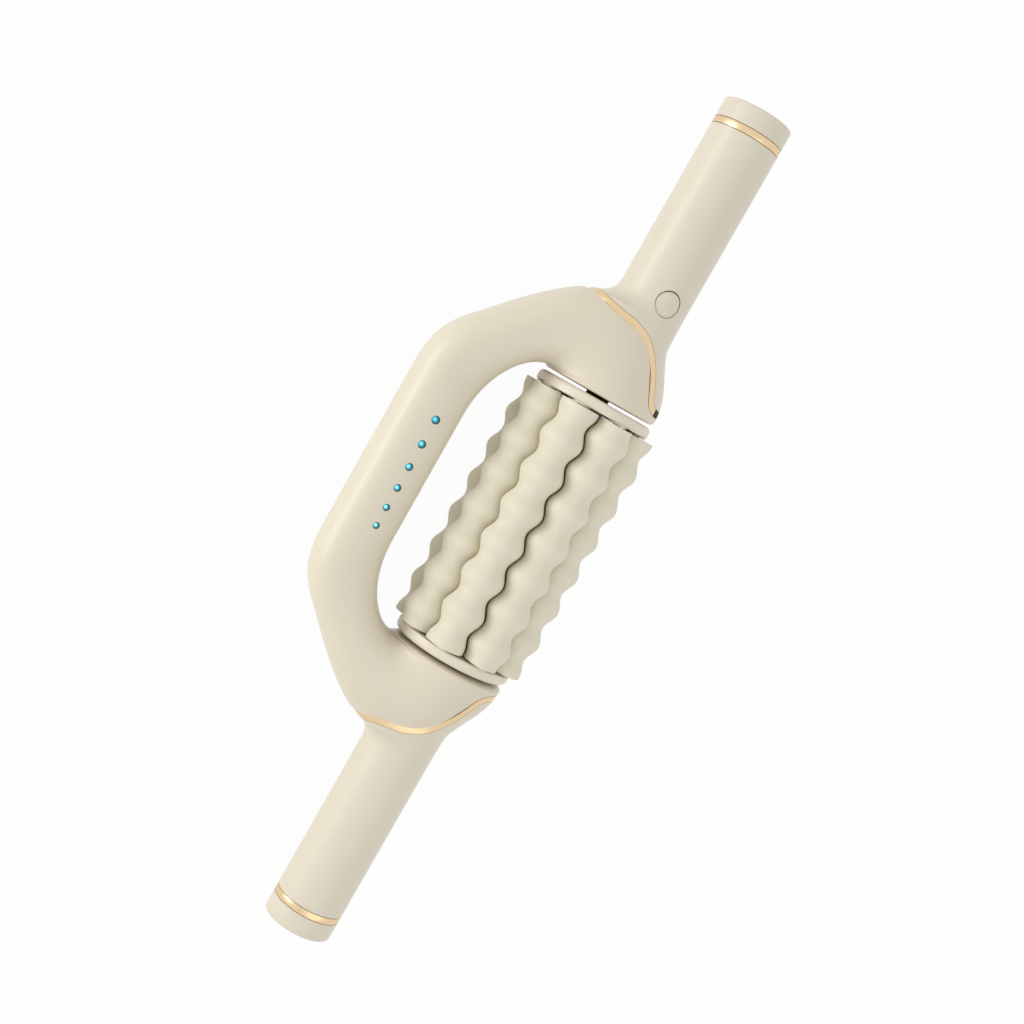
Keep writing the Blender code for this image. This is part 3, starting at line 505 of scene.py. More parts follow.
# %% [markdown]
# ## Making pieces
# A piece is shaped in a bmesh and then added to the scene: its faces are turned outward and
# smoothed, sharp edges stay sharp, and it is tied to the body that it moves with. Turned parts
# are drawn as a line of points, from one end of the axis to the other, and spun once round.

# %% Helpers for pieces
SHARP = math.radians(35)
TURN_STEPS = 96
MERGE = 0.000001


def new_object(name, form):
    """An object from a bmesh."""
    bmesh.ops.recalc_face_normals(form, faces=form.faces)
    mesh = bpy.data.meshes.new(name)
    form.to_mesh(mesh)
    form.free()
    item = bpy.data.objects.new(name, mesh)
    bpy.context.scene.collection.objects.link(item)
    return item


def dress(item, body, material, slot, *nodes):
    """Give a shaped piece its finish, its body and the solids that it stands for."""
    item.data.materials.clear()
    item.data.materials.append(material)
    item.data.shade_smooth()
    item.data.set_sharp_from_angle(angle=SHARP)
    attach(item, body)
    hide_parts(*nodes)
    return item


def turned(profile, centre=(0, 0), closed=False, steps=TURN_STEPS):
    """Spin a line of (x, radius) points about an axis along X that passes through a (y, z)."""
    form = bmesh.new()
    points = [form.verts.new((x, centre[0] + radius, centre[1])) for x, radius in profile]
    for first, second in zip(points, points[1:]):
        form.edges.new((first, second))
    if closed:
        form.edges.new((points[-1], points[0]))
    bmesh.ops.spin(form, geom=form.verts[:] + form.edges[:], cent=(0, *centre), axis=(1, 0, 0),
                   angle=math.tau, steps=steps, use_merge=True)
    bmesh.ops.remove_doubles(form, verts=form.verts, dist=MERGE)
    return form


def turned_upright(profile, x, y, steps=TURN_STEPS):
    """The same about an upright axis, from (height, radius) points."""
    form = turned(profile, steps=steps)
    bmesh.ops.rotate(form, matrix=Matrix.Rotation(-math.pi / 2, 3, "Y"), verts=form.verts)
    bmesh.ops.translate(form, vec=(x, y, 0), verts=form.verts)
    return form


def arc(x, radius, size, start, end, steps=6):
    """Points of an arc about an (x, radius), from one angle to another in degrees."""
    angles = [math.radians(start + (end - start) * step / steps) for step in range(steps + 1)]
    return [(x + size * math.cos(angle), radius + size * math.sin(angle)) for angle in angles]


def facing(profile, sign):
    """A profile of the upper end, or its mirror image for the lower one."""
    return [(sign * x, radius) for x, radius in profile]


print("turned parts have", TURN_STEPS, "steps")

# %% [markdown]
# ## Blocks and softened edges
# Small fittings start as a block between two corners. No moulded or turned edge is quite sharp,
# so the sharp edges of a form are rounded by a few tenths of a millimetre. A round-ended slot is
# a block whose long edges are rounded by half its height.

# %% Blocks and softened edges
def block(low, high):
    """A block between two corners."""
    form = bmesh.new()
    bmesh.ops.create_cube(form, size=1)
    bmesh.ops.scale(form, vec=high - low, verts=form.verts)
    bmesh.ops.translate(form, vec=(low + high) / 2, verts=form.verts)
    return form


def round_along_x(form, radius):
    """Round the edges of a block that run along X."""
    along_x = [edge for edge in form.edges
               if edge.verts[0].co.yz == edge.verts[1].co.yz]
    bmesh.ops.bevel(form, geom=along_x, offset=radius, segments=8, profile=0.5,
                    affect="EDGES", material=-1)
    return form


def soften(form, width, segments=2, corner=math.radians(50)):
    """Round the sharp edges of a form."""
    edges = [edge for edge in form.edges if edge.is_manifold and edge.calc_face_angle() > corner]
    bmesh.ops.bevel(form, geom=edges, offset=width, segments=segments, profile=0.5,
                    affect="EDGES", material=-1, clamp_overlap=True)
    return form


sample = round_along_x(block(Vector((0, 0, 0)), Vector((3, 2, 1))), 0.5)
print("a round-ended slot has", len(sample.faces), "faces")
sample.free()

# %% [markdown]
# ## Walls and cuts
# Housing, tubes and strips are thin walls. The outer skin is shaped first, Solidify gives it a
# wall on the inside, and an exact Boolean cuts the wall with a second form, such as a hole or the
# area beyond a seam. Both are applied at once, so the finished piece is a plain mesh.

# %% Walls and cuts
def finished_mesh(item):
    """Apply an object's modifiers to its mesh."""
    graph = bpy.context.evaluated_depsgraph_get()
    mesh = bpy.data.meshes.new_from_object(item.evaluated_get(graph))
    item.modifiers.clear()
    item.data = mesh
    return item


def add_wall(item, thickness):
    """Turn an open skin into a wall, inward from the skin."""
    wall = item.modifiers.new("wall", "SOLIDIFY")
    wall.thickness = thickness
    wall.offset = -1
    wall.use_even_offset = True


def carve(item, form, operation="DIFFERENCE"):
    """Cut an object with a form, or join the two, and apply what was added before."""
    cutter = new_object("cutter", form)
    boolean = item.modifiers.new("carve", "BOOLEAN")
    boolean.operation = operation
    boolean.solver = "EXACT"
    boolean.object = cutter
    finished_mesh(item)
    bpy.data.objects.remove(cutter)


print("wall of the housing, mm:", WALL * 1000)

# %% [markdown]
# ## Sections of the housing
# The housing is a loft: a round hub face that turns the corner and becomes the squarish grip. It
# could be carved from a block or smoothed out of a cage of few faces, but a loft gives every
# section its true size, and one table serves both ends.
# Each section is a circle, made a little squarer, and laid between a point on the inner edge and
# a point on the outer edge. A table gives the sections from the photograph, as shares of the
# housing's sizes: how far the inner edge has come round its bend, how far the outer edge stands
# above the hub face, where it lies across, the depth, and the squareness.

# %% Sections of the housing
ELBOW_STATION_SHARES = (
    (0.030, 0.054, -1.000, 1.000, 2.00),
    (0.060, 0.290, -0.945, 0.940, 2.05),
    (0.085, 0.560, -0.760, 0.830, 2.05),
    (0.110, 0.820, -0.550, 0.720, 2.10),
    (0.145, 1.050, -0.200, 0.590, 2.18),
    (0.190, 1.125, 0.290, 0.470, 2.24),
    (0.240, 1.060, 0.720, 0.375, 2.30),
    (0.280, 0.958, 1.016, 0.300, 2.35),
    (0.330, 0.810, 1.197, 0.240, 2.40),
    (0.400, 0.620, 1.370, 0.180, 2.40),
    (0.490, 0.400, 1.545, 0.125, 2.40),
    (0.590, 0.180, 1.708, 0.080, 2.40),
    (0.690, -0.020, 1.852, 0.045, 2.40),
    (0.790, -0.230, 1.947, 0.025, 2.40),
    (0.890, -0.470, 1.992, 0.012, 2.40),
    (1.000, -OUTER_BEND_RUN / ELBOW_RISE, 2.000, 0.000, 2.40),
)
STATION_STEPS = 4
FILLET_STEPS = 8
STRAIGHT_STEPS = 6


def mix(start, end, share):
    """A value between two others."""
    return start + (end - start) * share


def smooth_rows(rows, steps):
    """Rows of values on a smooth curve through the given rows."""
    ends = [rows[0]] + list(rows) + [rows[-1]]
    smooth = []
    for before, start, end, after in zip(ends, ends[1:], ends[2:], ends[3:]):
        for step in range(steps):
            t = step / steps
            weights = (-t + 2 * t ** 2 - t ** 3, 2 - 5 * t ** 2 + 3 * t ** 3,
                       t + 4 * t ** 2 - 3 * t ** 3, t ** 3 - t ** 2)
            columns = zip(before, start, end, after)
            smooth.append(tuple(sum(w * c for w, c in zip(weights, column)) / 2
                                for column in columns))
    smooth.append(tuple(rows[-1]))
    return smooth


def inner_edge(bend_share):
    """The inner edge: a quarter ellipse from beside the hub face to the grip."""
    angle = math.pi / 2 * bend_share
    start = HUB_RADIUS - INNER_BEND_START
    run = INNER_BEND_RUN + INNER_BEND_DEPTH
    return Vector((HUB_FACE_X + INNER_BEND_DEPTH - run * (1 - math.cos(angle)),
                   mix(start, GRIP_INNER, math.sin(angle))))


def outer_edge(rise_share, side_share):
    """A point of the outer edge, from the hub's far side round to the grip."""
    x = HUB_FACE_X + ELBOW_RISE * rise_share
    if side_share <= 1:
        return Vector((x, HUB_RADIUS * side_share))
    return Vector((x, mix(HUB_RADIUS, GRIP_OUTER, side_share - 1)))


def housing_sections(rounding):
    """Sections as (inner point, outer point, half depth, squareness), from the hub's hole."""
    hole = SHAFT_RADIUS + GAP
    flat = HUB_RADIUS - rounding
    sections = [(Vector((HUB_FACE_X, r)), Vector((HUB_FACE_X, -r)), r, 2) for r in (hole, flat)]
    stations = []
    for bend, rise, across, depth, squareness in smooth_rows(ELBOW_STATION_SHARES, STATION_STEPS):
        half_depth = mix(GRIP_DEPTH / 2, HUB_RADIUS, depth)
        stations.append((inner_edge(bend), outer_edge(rise, across), half_depth, squareness))
    start, end = sections[-1], stations[0]
    for step in range(1, FILLET_STEPS):
        angle = math.pi / 2 * step / FILLET_STEPS
        out, along = math.sin(angle), 1 - math.cos(angle)
        inner = Vector((mix(start[0].x, end[0].x, along), mix(start[0].y, end[0].y, out)))
        outer = Vector((mix(start[1].x, end[1].x, along), mix(start[1].y, end[1].y, out)))
        sections.append((inner, outer, mix(start[2], end[2], out), 2))
    sections += stations
    inner, outer, half_depth, squareness = stations[-1]
    for step in range(1, STRAIGHT_STEPS + 1):
        part = 1 - step / STRAIGHT_STEPS
        sections.append((Vector((inner.x * part, inner.y)), Vector((outer.x * part, outer.y)),
                         half_depth, squareness))
    return sections


def other_end(section):
    """The same section at the lower end."""
    inner, outer, half_depth, squareness = section
    return Vector((-inner.x, inner.y)), Vector((-outer.x, outer.y)), half_depth, squareness


print("sections in half a housing:", len(housing_sections(UPPER_HUB_ROUNDING)))

# %% [markdown]
# ## Housing skin
# Each section starts as a circle of radius one. Its points are drawn out toward the corners, a
# matrix lays it in place, and neighbouring sections are bridged, from the upper hub round the
# grip to the lower hub. The two ends are alike but for the hub's edge: the lower one is rounded
# more, which leaves the wide shadow under the drum.

# %% Housing skin
SECTION_POINTS = 64


def squared(value, squareness):
    """Move a coordinate of the unit circle toward a squarer outline."""
    return math.copysign(abs(value) ** (2 / squareness), value)


def add_ring(form):
    """A unit circle, as its vertices and edges."""
    verts = bmesh.ops.create_circle(form, radius=1, segments=SECTION_POINTS)["verts"]
    return verts, list({edge for vert in verts for edge in vert.link_edges})


def lay_section(form, inner, outer, half_depth, squareness):
    """A section laid between its inner and outer edge. Returns its edges."""
    verts, edges = add_ring(form)
    for vert in verts:
        vert.co = (squared(vert.co.x, squareness), squared(vert.co.y, squareness), 0)
    half = (outer - inner) / 2
    middle = (outer + inner) / 2
    matrix = Matrix(((half.x, 0, half.y, middle.x),
                     (half.y, 0, -half.x, middle.y + AXIS_Y),
                     (0, half_depth, 0, 0),
                     (0, 0, 0, 1)))
    bmesh.ops.transform(form, matrix=matrix, verts=verts)
    return edges


def bridge(form, rings):
    """Join each ring of edges to the next."""
    for near, far in zip(rings, rings[1:]):
        bmesh.ops.bridge_loops(form, edges=near + far)


def housing_skin():
    """The whole outer surface of the housing, open at the two shaft holes."""
    form = bmesh.new()
    upper = housing_sections(UPPER_HUB_ROUNDING)
    lower = [other_end(section) for section in housing_sections(LOWER_HUB_ROUNDING)]
    bridge(form, [lay_section(form, *section) for section in upper + lower[-2::-1]])
    return form


skin = housing_skin()
print("housing skin:", len(skin.faces), "faces,",
      round(max(edge.calc_length() for edge in skin.edges) * 1000, 1), "mm longest edge")

# %% [markdown]
# ## The seam between housing and handle
# Seen from the front, the seam is an S-curve. It is given by a few points, as shares of the
# elbow's height and of the hub's radius, and smoothed. A cutter is the flat area on one side of
# that curve, drawn out through the whole depth.

# %% Seam cutters
SEAM_SHARES = (
    (0.979, 1.125),
    (0.959, 0.970),
    (0.898, 0.750),
    (0.867, 0.530),
    (0.832, 0.250),
    (0.736, -0.030),
    (0.545, -0.280),
    (0.344, -0.430),
    (0.217, -0.516),
    (0.150, -0.640),
    (0.127, -0.810),
    (0.127, -1.125),
)
SEAM_STEPS = 6
SEAM_TRIM_WIDTH = 0.0035
SEAM_TRIM_WALL = 0.0012
CUT_DEPTH = HUB_RADIUS + 0.004


def seam_line(shift, end_sign):
    """The seam of one end, moved toward the tube by a distance."""
    points = [(HUB_FACE_X + ELBOW_RISE * rise, HUB_RADIUS * across)
              for rise, across in SEAM_SHARES]
    path = [Vector(point) for point in smooth_rows(points, SEAM_STEPS)]
    line = []
    for index, point in enumerate(path):
        along = path[min(index + 1, len(path) - 1)] - path[max(index - 1, 0)]
        side = Vector((-along.y, along.x)).normalized() * shift
        line.append((end_sign * (point.x + side.x), AXIS_Y + point.y + side.y))
    return line


def drawn_out(form, outline):
    """Add a flat outline, drawn out to both sides of the middle plane."""
    corners = [form.verts.new((x, y, -CUT_DEPTH)) for x, y in outline]
    edges = [form.edges.new(pair) for pair in zip(corners, corners[1:] + corners[:1])]
    face = bmesh.ops.edgenet_fill(form, edges=edges)["faces"]
    drawn = bmesh.ops.extrude_face_region(form, geom=face)["geom"]
    moved = [part for part in drawn if isinstance(part, bmesh.types.BMVert)]
    bmesh.ops.translate(form, vec=(0, 0, CUT_DEPTH * 2), verts=moved)
    return form


def beyond_seam(form, shift, end_sign, far_x):
    """The area between a shifted seam and a plane across the axis."""
    line = seam_line(shift, end_sign)
    return drawn_out(form, line + [(far_x, line[-1][1]), (far_x, line[0][1])])


def seam_band(form, end_sign):
    """The band that the gold strip fills."""
    half = SEAM_TRIM_WIDTH / 2
    return drawn_out(form, seam_line(-half, end_sign) + seam_line(half, end_sign)[::-1])


print("seam points:", len(seam_line(0, 1)))

# %% [markdown]
# ## Front and rear shells
# The housing is moulded in two halves that meet on the middle plane. Two halves shaped one by
# one would hardly meet so well, so one skin is cut there. Each half gets its wall, and the ends
# are trimmed back to the seams. The front half also gets the holes for the indicators.

# %% Shells
PARTING_GAP = 0.0001
LENS_HOLE_STEPS = 48
lens_boxes = [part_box(f"indicator_lens_{index}") for index in range(1, LENS_COUNT + 1)]


def add_post(form, x, y, radius, low, high, steps):
    """An upright cylinder."""
    bmesh.ops.create_cone(form, cap_ends=True, segments=steps, radius1=radius, radius2=radius,
                          depth=high - low,
                          matrix=Matrix.Translation((x, y, (low + high) / 2)))


def lens_centre(low, high):
    """Where an indicator stands."""
    return (low.x + high.x) / 2, (low.y + high.y) / 2


LENS_FIRST_RADIUS = 0.00205
LENS_LAST_RADIUS = 0.0016
lens_radii = [mix(LENS_FIRST_RADIUS, LENS_LAST_RADIUS, index / (LENS_COUNT - 1))
              for index in range(LENS_COUNT)]

for name, side in (("front_shell", 1), ("rear_shell", -1)):
    half = skin.copy()
    bmesh.ops.bisect_plane(half, geom=half.verts[:] + half.edges[:] + half.faces[:],
                           plane_co=(0, 0, side * PARTING_GAP), plane_no=(0, 0, side),
                           clear_inner=True)
    shell = new_object("fine_" + name, half)
    add_wall(shell, WALL)
    cutters = bmesh.new()
    for sign in (1, -1):
        beyond_seam(cutters, -SEAM_TRIM_WIDTH / 2 - SEAM_GAP, sign,
                    sign * (SHOULDER_X + HUB_RADIUS))
    if side > 0:
        for (low, high), radius in zip(lens_boxes, lens_radii):
            add_post(cutters, *lens_centre(low, high), radius + SEAM_GAP, 0, GRIP_DEPTH,
                     LENS_HOLE_STEPS)
    carve(shell, cutters)
    dress(shell, "housing", HOUSING_ABS, "housing", name)
    print(shell.name, len(shell.data.polygons), "faces")
skin.free()

# %% [markdown]
# ## Tube handles
# A handle is a plain tube that flares out at its root to meet the hub. A cylinder joined to the
# hub would leave a crease there, so tube and flare are one loft. On the side away from the grip
# it swells evenly. On the grip's side it swells later and gets squarer, to run into the elbow.
# The table gives the swelling of the far side, the near side and the front as shares of the way
# from the tube's radius to the hub's.

# %% Sections of a handle
FLARE_STATION_SHARES = (
    (1.250, 0.00, 0.00, 0.00, 2.0),
    (1.160, 0.00, 0.04, 0.00, 2.0),
    (1.104, 0.00, 0.13, 0.01, 2.05),
    (1.052, 0.00, 0.31, 0.03, 2.15),
    (1.010, 0.00, 0.57, 0.05, 2.3),
    (0.975, 0.00, 0.90, 0.08, 2.5),
    (0.906, 0.00, 1.08, 0.13, 2.5),
    (0.830, 0.00, 1.00, 0.20, 2.4),
    (0.740, 0.05, 0.85, 0.28, 2.2),
    (0.600, 0.29, 0.80, 0.44, 2.0),
    (0.448, 0.58, 0.80, 0.67, 2.0),
    (0.300, 0.83, 0.90, 0.85, 2.0),
    (0.156, 0.97, 0.97, 0.97, 2.0),
    (0.030, 1.00, 1.00, 1.00, 2.0),
)
TUBE_END_X = ring_low.x - GAP
TUBE_SECTIONS = 12


def lay_flare(form, x, far, near, depth, squareness):
    """A section of a handle, round on the far side and squarer on the near one."""
    verts, edges = add_ring(form)
    for vert in verts:
        across, rise = vert.co.x, vert.co.y
        if across > 0:
            vert.co = (x, AXIS_Y + near * squared(across, squareness),
                       depth * squared(rise, squareness))
        else:
            vert.co = (x, AXIS_Y + far * across, depth * rise)
    return edges


def handle_skin(end_sign):
    """The outer surface of a handle, from its outer end to the hub face."""
    swell = HUB_RADIUS - TUBE_RADIUS
    plain_start = (TUBE_END_X - HUB_FACE_X) / ELBOW_RISE
    plain_end = FLARE_STATION_SHARES[0][0]
    rows = [(mix(plain_start, plain_end, step / TUBE_SECTIONS), 0, 0, 0, 2)
            for step in range(TUBE_SECTIONS)]
    rows += smooth_rows(FLARE_STATION_SHARES, STATION_STEPS)
    form = bmesh.new()
    bridge(form, [lay_flare(form, end_sign * (HUB_FACE_X + ELBOW_RISE * rise),
                            TUBE_RADIUS + swell * far, TUBE_RADIUS + swell * near,
                            TUBE_RADIUS + swell * front, squareness)
                  for rise, far, near, front, squareness in rows])
    return form


print("plain tube from x", round(TUBE_END_X, 4))

# %% [markdown]
# The skin of a handle serves twice. With a wall and cut back to the seam it is the tube, and a
# copy cut to a band along the seam is the gold strip. The upper tube also gets the button's hole,
# which stands a hair off the button's middle, so the groove is widest at the button's upper edge.

# %% Handles and seam strips
BUTTON_HOLE_RADIUS = 0.00705
BUTTON_RADIUS = 0.00668
BUTTON_HOLE_STEPS = 96
button_low, button_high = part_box("power_button")
BUTTON_X = (button_low.x + button_high.x) / 2
BUTTON_Y = (button_low.y + button_high.y) / 2
HOLE_SHIFT = 0.0002
TUBE_WALL = 0.0018

for end, sign in (("upper", 1), ("lower", -1)):
    skin = handle_skin(sign)
    strip = new_object(f"fine_{end}_seam_trim", skin.copy())
    tube = new_object(f"fine_{end}_handle_tube", skin)
    add_wall(tube, TUBE_WALL)
    add_wall(strip, SEAM_TRIM_WALL)
    cutters = beyond_seam(bmesh.new(), SEAM_TRIM_WIDTH / 2 + SEAM_GAP, sign, 0)
    if sign > 0:
        add_post(cutters, BUTTON_X + HOLE_SHIFT, BUTTON_Y + HOLE_SHIFT / 2, BUTTON_HOLE_RADIUS,
                 0, CUT_DEPTH, BUTTON_HOLE_STEPS)
    carve(tube, cutters)
    carve(strip, seam_band(bmesh.new(), sign), "INTERSECT")
    dress(tube, "housing", HANDLE_ABS, "handle", f"{end}_handle_tube")
    dress(strip, "housing", GOLD, "gold_trim", f"{end}_seam_trim")
    print(tube.name, len(tube.data.polygons), "faces;", strip.name, len(strip.data.polygons))

# %% [markdown]
# ## Painted dark reflection at the end of the upper strip
# The far end of the upper strip, where it runs round the side of the hub, shows a dark
# reflection. It is painted in as a small dark piece that takes the place of the strip's end. It
# is made from the strip itself: a copy is cut to a block's inside, and the strip is cut to its
# outside. The copy goes through a bmesh once more, which turns its new faces outward.

# %% Painted dark reflection at the end of the upper strip
REFLECTION_PATCH_LOW = Vector((0.0822, AXIS_Y - HUB_RADIUS - GAP, 0.0083))
REFLECTION_PATCH_HIGH = Vector((0.0863, AXIS_Y - 0.0226, 0.0230))

strip = bpy.data.objects["fine_upper_seam_trim"]
reflection_patch = bpy.data.objects.new("strip_end_painted_reflection", strip.data.copy())
bpy.context.scene.collection.objects.link(reflection_patch)
for item, operation, room in ((reflection_patch, "INTERSECT", 0), (strip, "DIFFERENCE", SEAM_GAP / 2)):
    margin = Vector((room, room, room))
    carve(item, block(REFLECTION_PATCH_LOW - margin, REFLECTION_PATCH_HIGH + margin), operation)
reflection_patch_form = bmesh.new()
reflection_patch_form.from_mesh(reflection_patch.data)
bpy.data.objects.remove(reflection_patch)
reflection_patch = new_object("strip_end_painted_reflection", reflection_patch_form)
dress(reflection_patch, "housing", PAINTED_REFLECTION_DARK, "inner_plastic")
print("clip:", len(reflection_patch.data.polygons), "faces")

# %% [markdown]
# ## Rings and end caps
# A gold ring and a moulded cap close each tube. Both are round. A cylinder could be inset and
# bevelled for them, but a spun outline gives roof, skirt and rounding in one step. The cap's edge
# is rounded by a good millimetre, and the ring's by a fifth of one, which is what catches the
# light on the real ones.

# %% Rings and caps
CAP_ROUNDING = 0.0013
RING_EDGE = 0.0002
CAP_ROOF = 0.0028
TUBE_BORE = TUBE_RADIUS - 0.0024
CAP_SKIRT_WALL = 0.0018
SOCKET_WIDTH = 0.009
SOCKET_HEIGHT = 0.0032
CAP_X = ring_high.x + GAP

for end, sign in (("upper", 1), ("lower", -1)):
    ring_profile = [(ring_low.x, TUBE_RADIUS), (ring_high.x, TUBE_RADIUS),
                    (ring_high.x, TUBE_BORE), (ring_low.x, TUBE_BORE)]
    form = turned(facing(ring_profile, sign), (AXIS_Y, 0), closed=True)
    ring = new_object(f"fine_{end}_trim_ring", soften(form, RING_EDGE))
    dress(ring, "housing", GOLD, "gold_trim", f"{end}_trim_ring")
    skirt = TUBE_BORE - GAP
    inner = skirt - CAP_SKIRT_WALL
    cap_profile = [(END_X, 0)]
    cap_profile += arc(END_X - CAP_ROUNDING, TUBE_RADIUS - CAP_ROUNDING, CAP_ROUNDING, 0, 90)
    cap_profile += [(CAP_X, TUBE_RADIUS), (CAP_X, skirt), (cap_low.x, skirt), (cap_low.x, inner),
                    (END_X - CAP_ROOF, inner), (END_X - CAP_ROOF, 0)]
    cap = new_object(f"fine_{end}_end_cap", turned(facing(cap_profile, sign), (AXIS_Y, 0)))
    if sign < 0:
        middle = Vector((-END_X, AXIS_Y, 0))
        half = Vector((CAP_ROOF * 2, SOCKET_WIDTH / 2 + GAP, SOCKET_HEIGHT / 2 + GAP))
        carve(cap, round_along_x(block(middle - half, middle + half), SOCKET_HEIGHT / 2))
    dress(cap, "housing", HANDLE_ABS, "handle", f"{end}_end_cap")
    print(ring.name, len(ring.data.polygons), "faces;", cap.name, len(cap.data.polygons))

# %% [markdown]
# ## Charging socket
# The lower cap holds a small oval socket: a thin metal sleeve with a flat tongue inside. The
# sleeve is a round-ended block that loses its outer face and gets a wall. That keeps it the same
# form as the slot in the cap, which an oval drawn by hand would have to be fitted to.

# %% Charging socket
SLEEVE_WALL = 0.0003
TONGUE_WIDTH = 0.0064
TONGUE_HEIGHT = 0.0007
socket_low, socket_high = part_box("charge_socket")

sleeve = round_along_x(block(socket_low, socket_high), SOCKET_HEIGHT / 2 - MERGE)
mouth = [face for face in sleeve.faces if face.normal.x < -0.9]
bmesh.ops.delete(sleeve, geom=mouth, context="FACES")
socket = new_object("fine_charge_socket", sleeve)
add_wall(socket, SLEEVE_WALL)
dress(finished_mesh(socket), "housing", CAN_METAL, "motor_metal", "charge_socket")

middle = Vector(((socket_low.x + socket_high.x) / 2, AXIS_Y, 0))
half = Vector(((socket_high.x - socket_low.x) / 2 - SLEEVE_WALL * 2, TONGUE_WIDTH / 2,
               TONGUE_HEIGHT / 2))
tongue_form = soften(block(middle - half, middle + half), TONGUE_HEIGHT / 4)
tongue = new_object("charge_socket_tongue", tongue_form)
dress(tongue, "housing", NYLON, "inner_plastic")
print(socket.name, len(socket.data.polygons), "faces")

# %% [markdown]
# ## Power button
# The button fills its round hole, a hair below the tube's surface, and so a fine shadow lies
# along the hole's edge. Its top could be cut from the tube's own skin, but then it would have no
# rounded rim. So it is turned flat first, and then every point is let down by as much as the
# tube's round back falls away below it. A flange under the tube's wall holds it in.

# %% Power button
BUTTON_EDGE = 0.0004
BUTTON_DROP = 0.0003
FLANGE_DROP = 0.0045
FLANGE_THICKNESS = 0.001
button_flange = (button_high.x - button_low.x) / 2
button_top = TUBE_RADIUS - BUTTON_DROP
flange_top = TUBE_RADIUS - FLANGE_DROP
button_profile = [(button_top, BUTTON_RADIUS * share / 4) for share in range(4)]
button_profile += arc(button_top - BUTTON_EDGE, BUTTON_RADIUS - BUTTON_EDGE, BUTTON_EDGE, 0, 90)
button_profile += [(flange_top, BUTTON_RADIUS), (flange_top, button_flange),
                   (flange_top - FLANGE_THICKNESS, button_flange),
                   (flange_top - FLANGE_THICKNESS, 0)]
form = turned_upright(button_profile, BUTTON_X, BUTTON_Y)
for vert in form.verts:
    off_middle = vert.co.y - AXIS_Y
    vert.co.z -= TUBE_RADIUS - math.sqrt(TUBE_RADIUS ** 2 - off_middle ** 2)
button = new_object("fine_power_button", form)
dress(button, "power_button", BUTTON_ABS, "button", "power_button")
print(button.name, len(button.data.polygons), "faces")

# %% [markdown]
# ## Indicators
# Six beads stand in the grip in a row and get smaller toward the lower end. Each is a low dome
# on a short barrel. A point attribute marks a painted highlight: it is 1 a little toward the
# grip's outside and falls to 0 at the rim. The beads nearer the button get a weaker painted
# highlight, so they are darker.

# %% Indicators
DOME_HEIGHT = 0.0005
DOME_STEPS = 8
BEAD_STEPS = 48
# Where the painted highlight sits on each bead, its size, and its strength on the first bead.
HIGHLIGHT_WAY = Vector((0.28, 0.96))
HIGHLIGHT_OFFSET_SHARE = 0.4
HIGHLIGHT_SIZE_SHARE = 0.95
HIGHLIGHT_FIRST_STRENGTH = 0.82


def make_bead(index, low, high, radius):
    """One indicator, with its painted highlight."""
    x, y = lens_centre(low, high)
    rim = high.z - GAP
    profile = [(rim + DOME_HEIGHT * math.cos(math.pi / 2 * step / DOME_STEPS),
                radius * math.sin(math.pi / 2 * step / DOME_STEPS))
               for step in range(DOME_STEPS + 1)]
    profile += [(low.z, radius), (low.z, 0)]
    item = new_object(f"fine_indicator_lens_{index}",
                      turned_upright(profile, x, y, BEAD_STEPS))
    # The painted highlight, stored on the bead's points.
    painted_highlight = item.data.attributes.new("painted_highlight", "FLOAT", "POINT")
    centre = Vector((x, y)) + HIGHLIGHT_WAY * radius * HIGHLIGHT_OFFSET_SHARE
    strength = mix(HIGHLIGHT_FIRST_STRENGTH, 1.0, (index - 1) / (LENS_COUNT - 1))
    for vert in item.data.vertices:
        away = (vert.co.xy - centre).length / (radius * HIGHLIGHT_SIZE_SHARE)
        painted_highlight.data[vert.index].value = strength * max(0.0, 1 - away ** 2)
    return dress(item, "housing", LENS_PAINTED_HIGHLIGHT, "lens", f"indicator_lens_{index}")


for index, ((low, high), radius) in enumerate(zip(lens_boxes, lens_radii), start=1):
    bead = make_bead(index, low, high, radius)
print("beads:", index, "with", len(bead.data.polygons), "faces each")

# %% [markdown]
# ## The drum
# Eight silicone rods stand on a circle between two discs. Each rod's outline is a wave, and its
# neighbours are shifted by half a wave, so that crests lie in hollows and only a thin dark line
# is left between two rods. The wave gets lower toward the ends of the rod. The silicone is cut
# square there, with a slightly broken edge. A cylinder could be pushed into waves by a modifier,
# but a spun outline keeps every crest round and exact with far fewer faces.

# %% Rods
ROD_WAVE_PITCH = 0.0199
ROD_WAVE_HEIGHT = 0.0016
ROD_CIRCLE_RADIUS = 0.027
ROD_GAP = 0.0009
PIN_RADIUS = 0.0025
ROD_STEPS = 84
ROD_TURN_STEPS = 56
ROD_END_EDGE = 0.0003
ROD_MEAN_RADIUS = ROD_CIRCLE_RADIUS * math.sin(math.pi / ROD_COUNT) - ROD_GAP / 2
CALM_LENGTH = ROD_WAVE_PITCH / 2
CALM_SHARE = 0.6


def wave_height(x):
    """The height of the wave, which gets lower over its last half pitch."""
    into_end = max(0.0, 1 - (ROD_HALF_LENGTH - abs(x)) / CALM_LENGTH)
    return ROD_WAVE_HEIGHT * (1 - CALM_SHARE * into_end ** 2 * (3 - 2 * into_end))


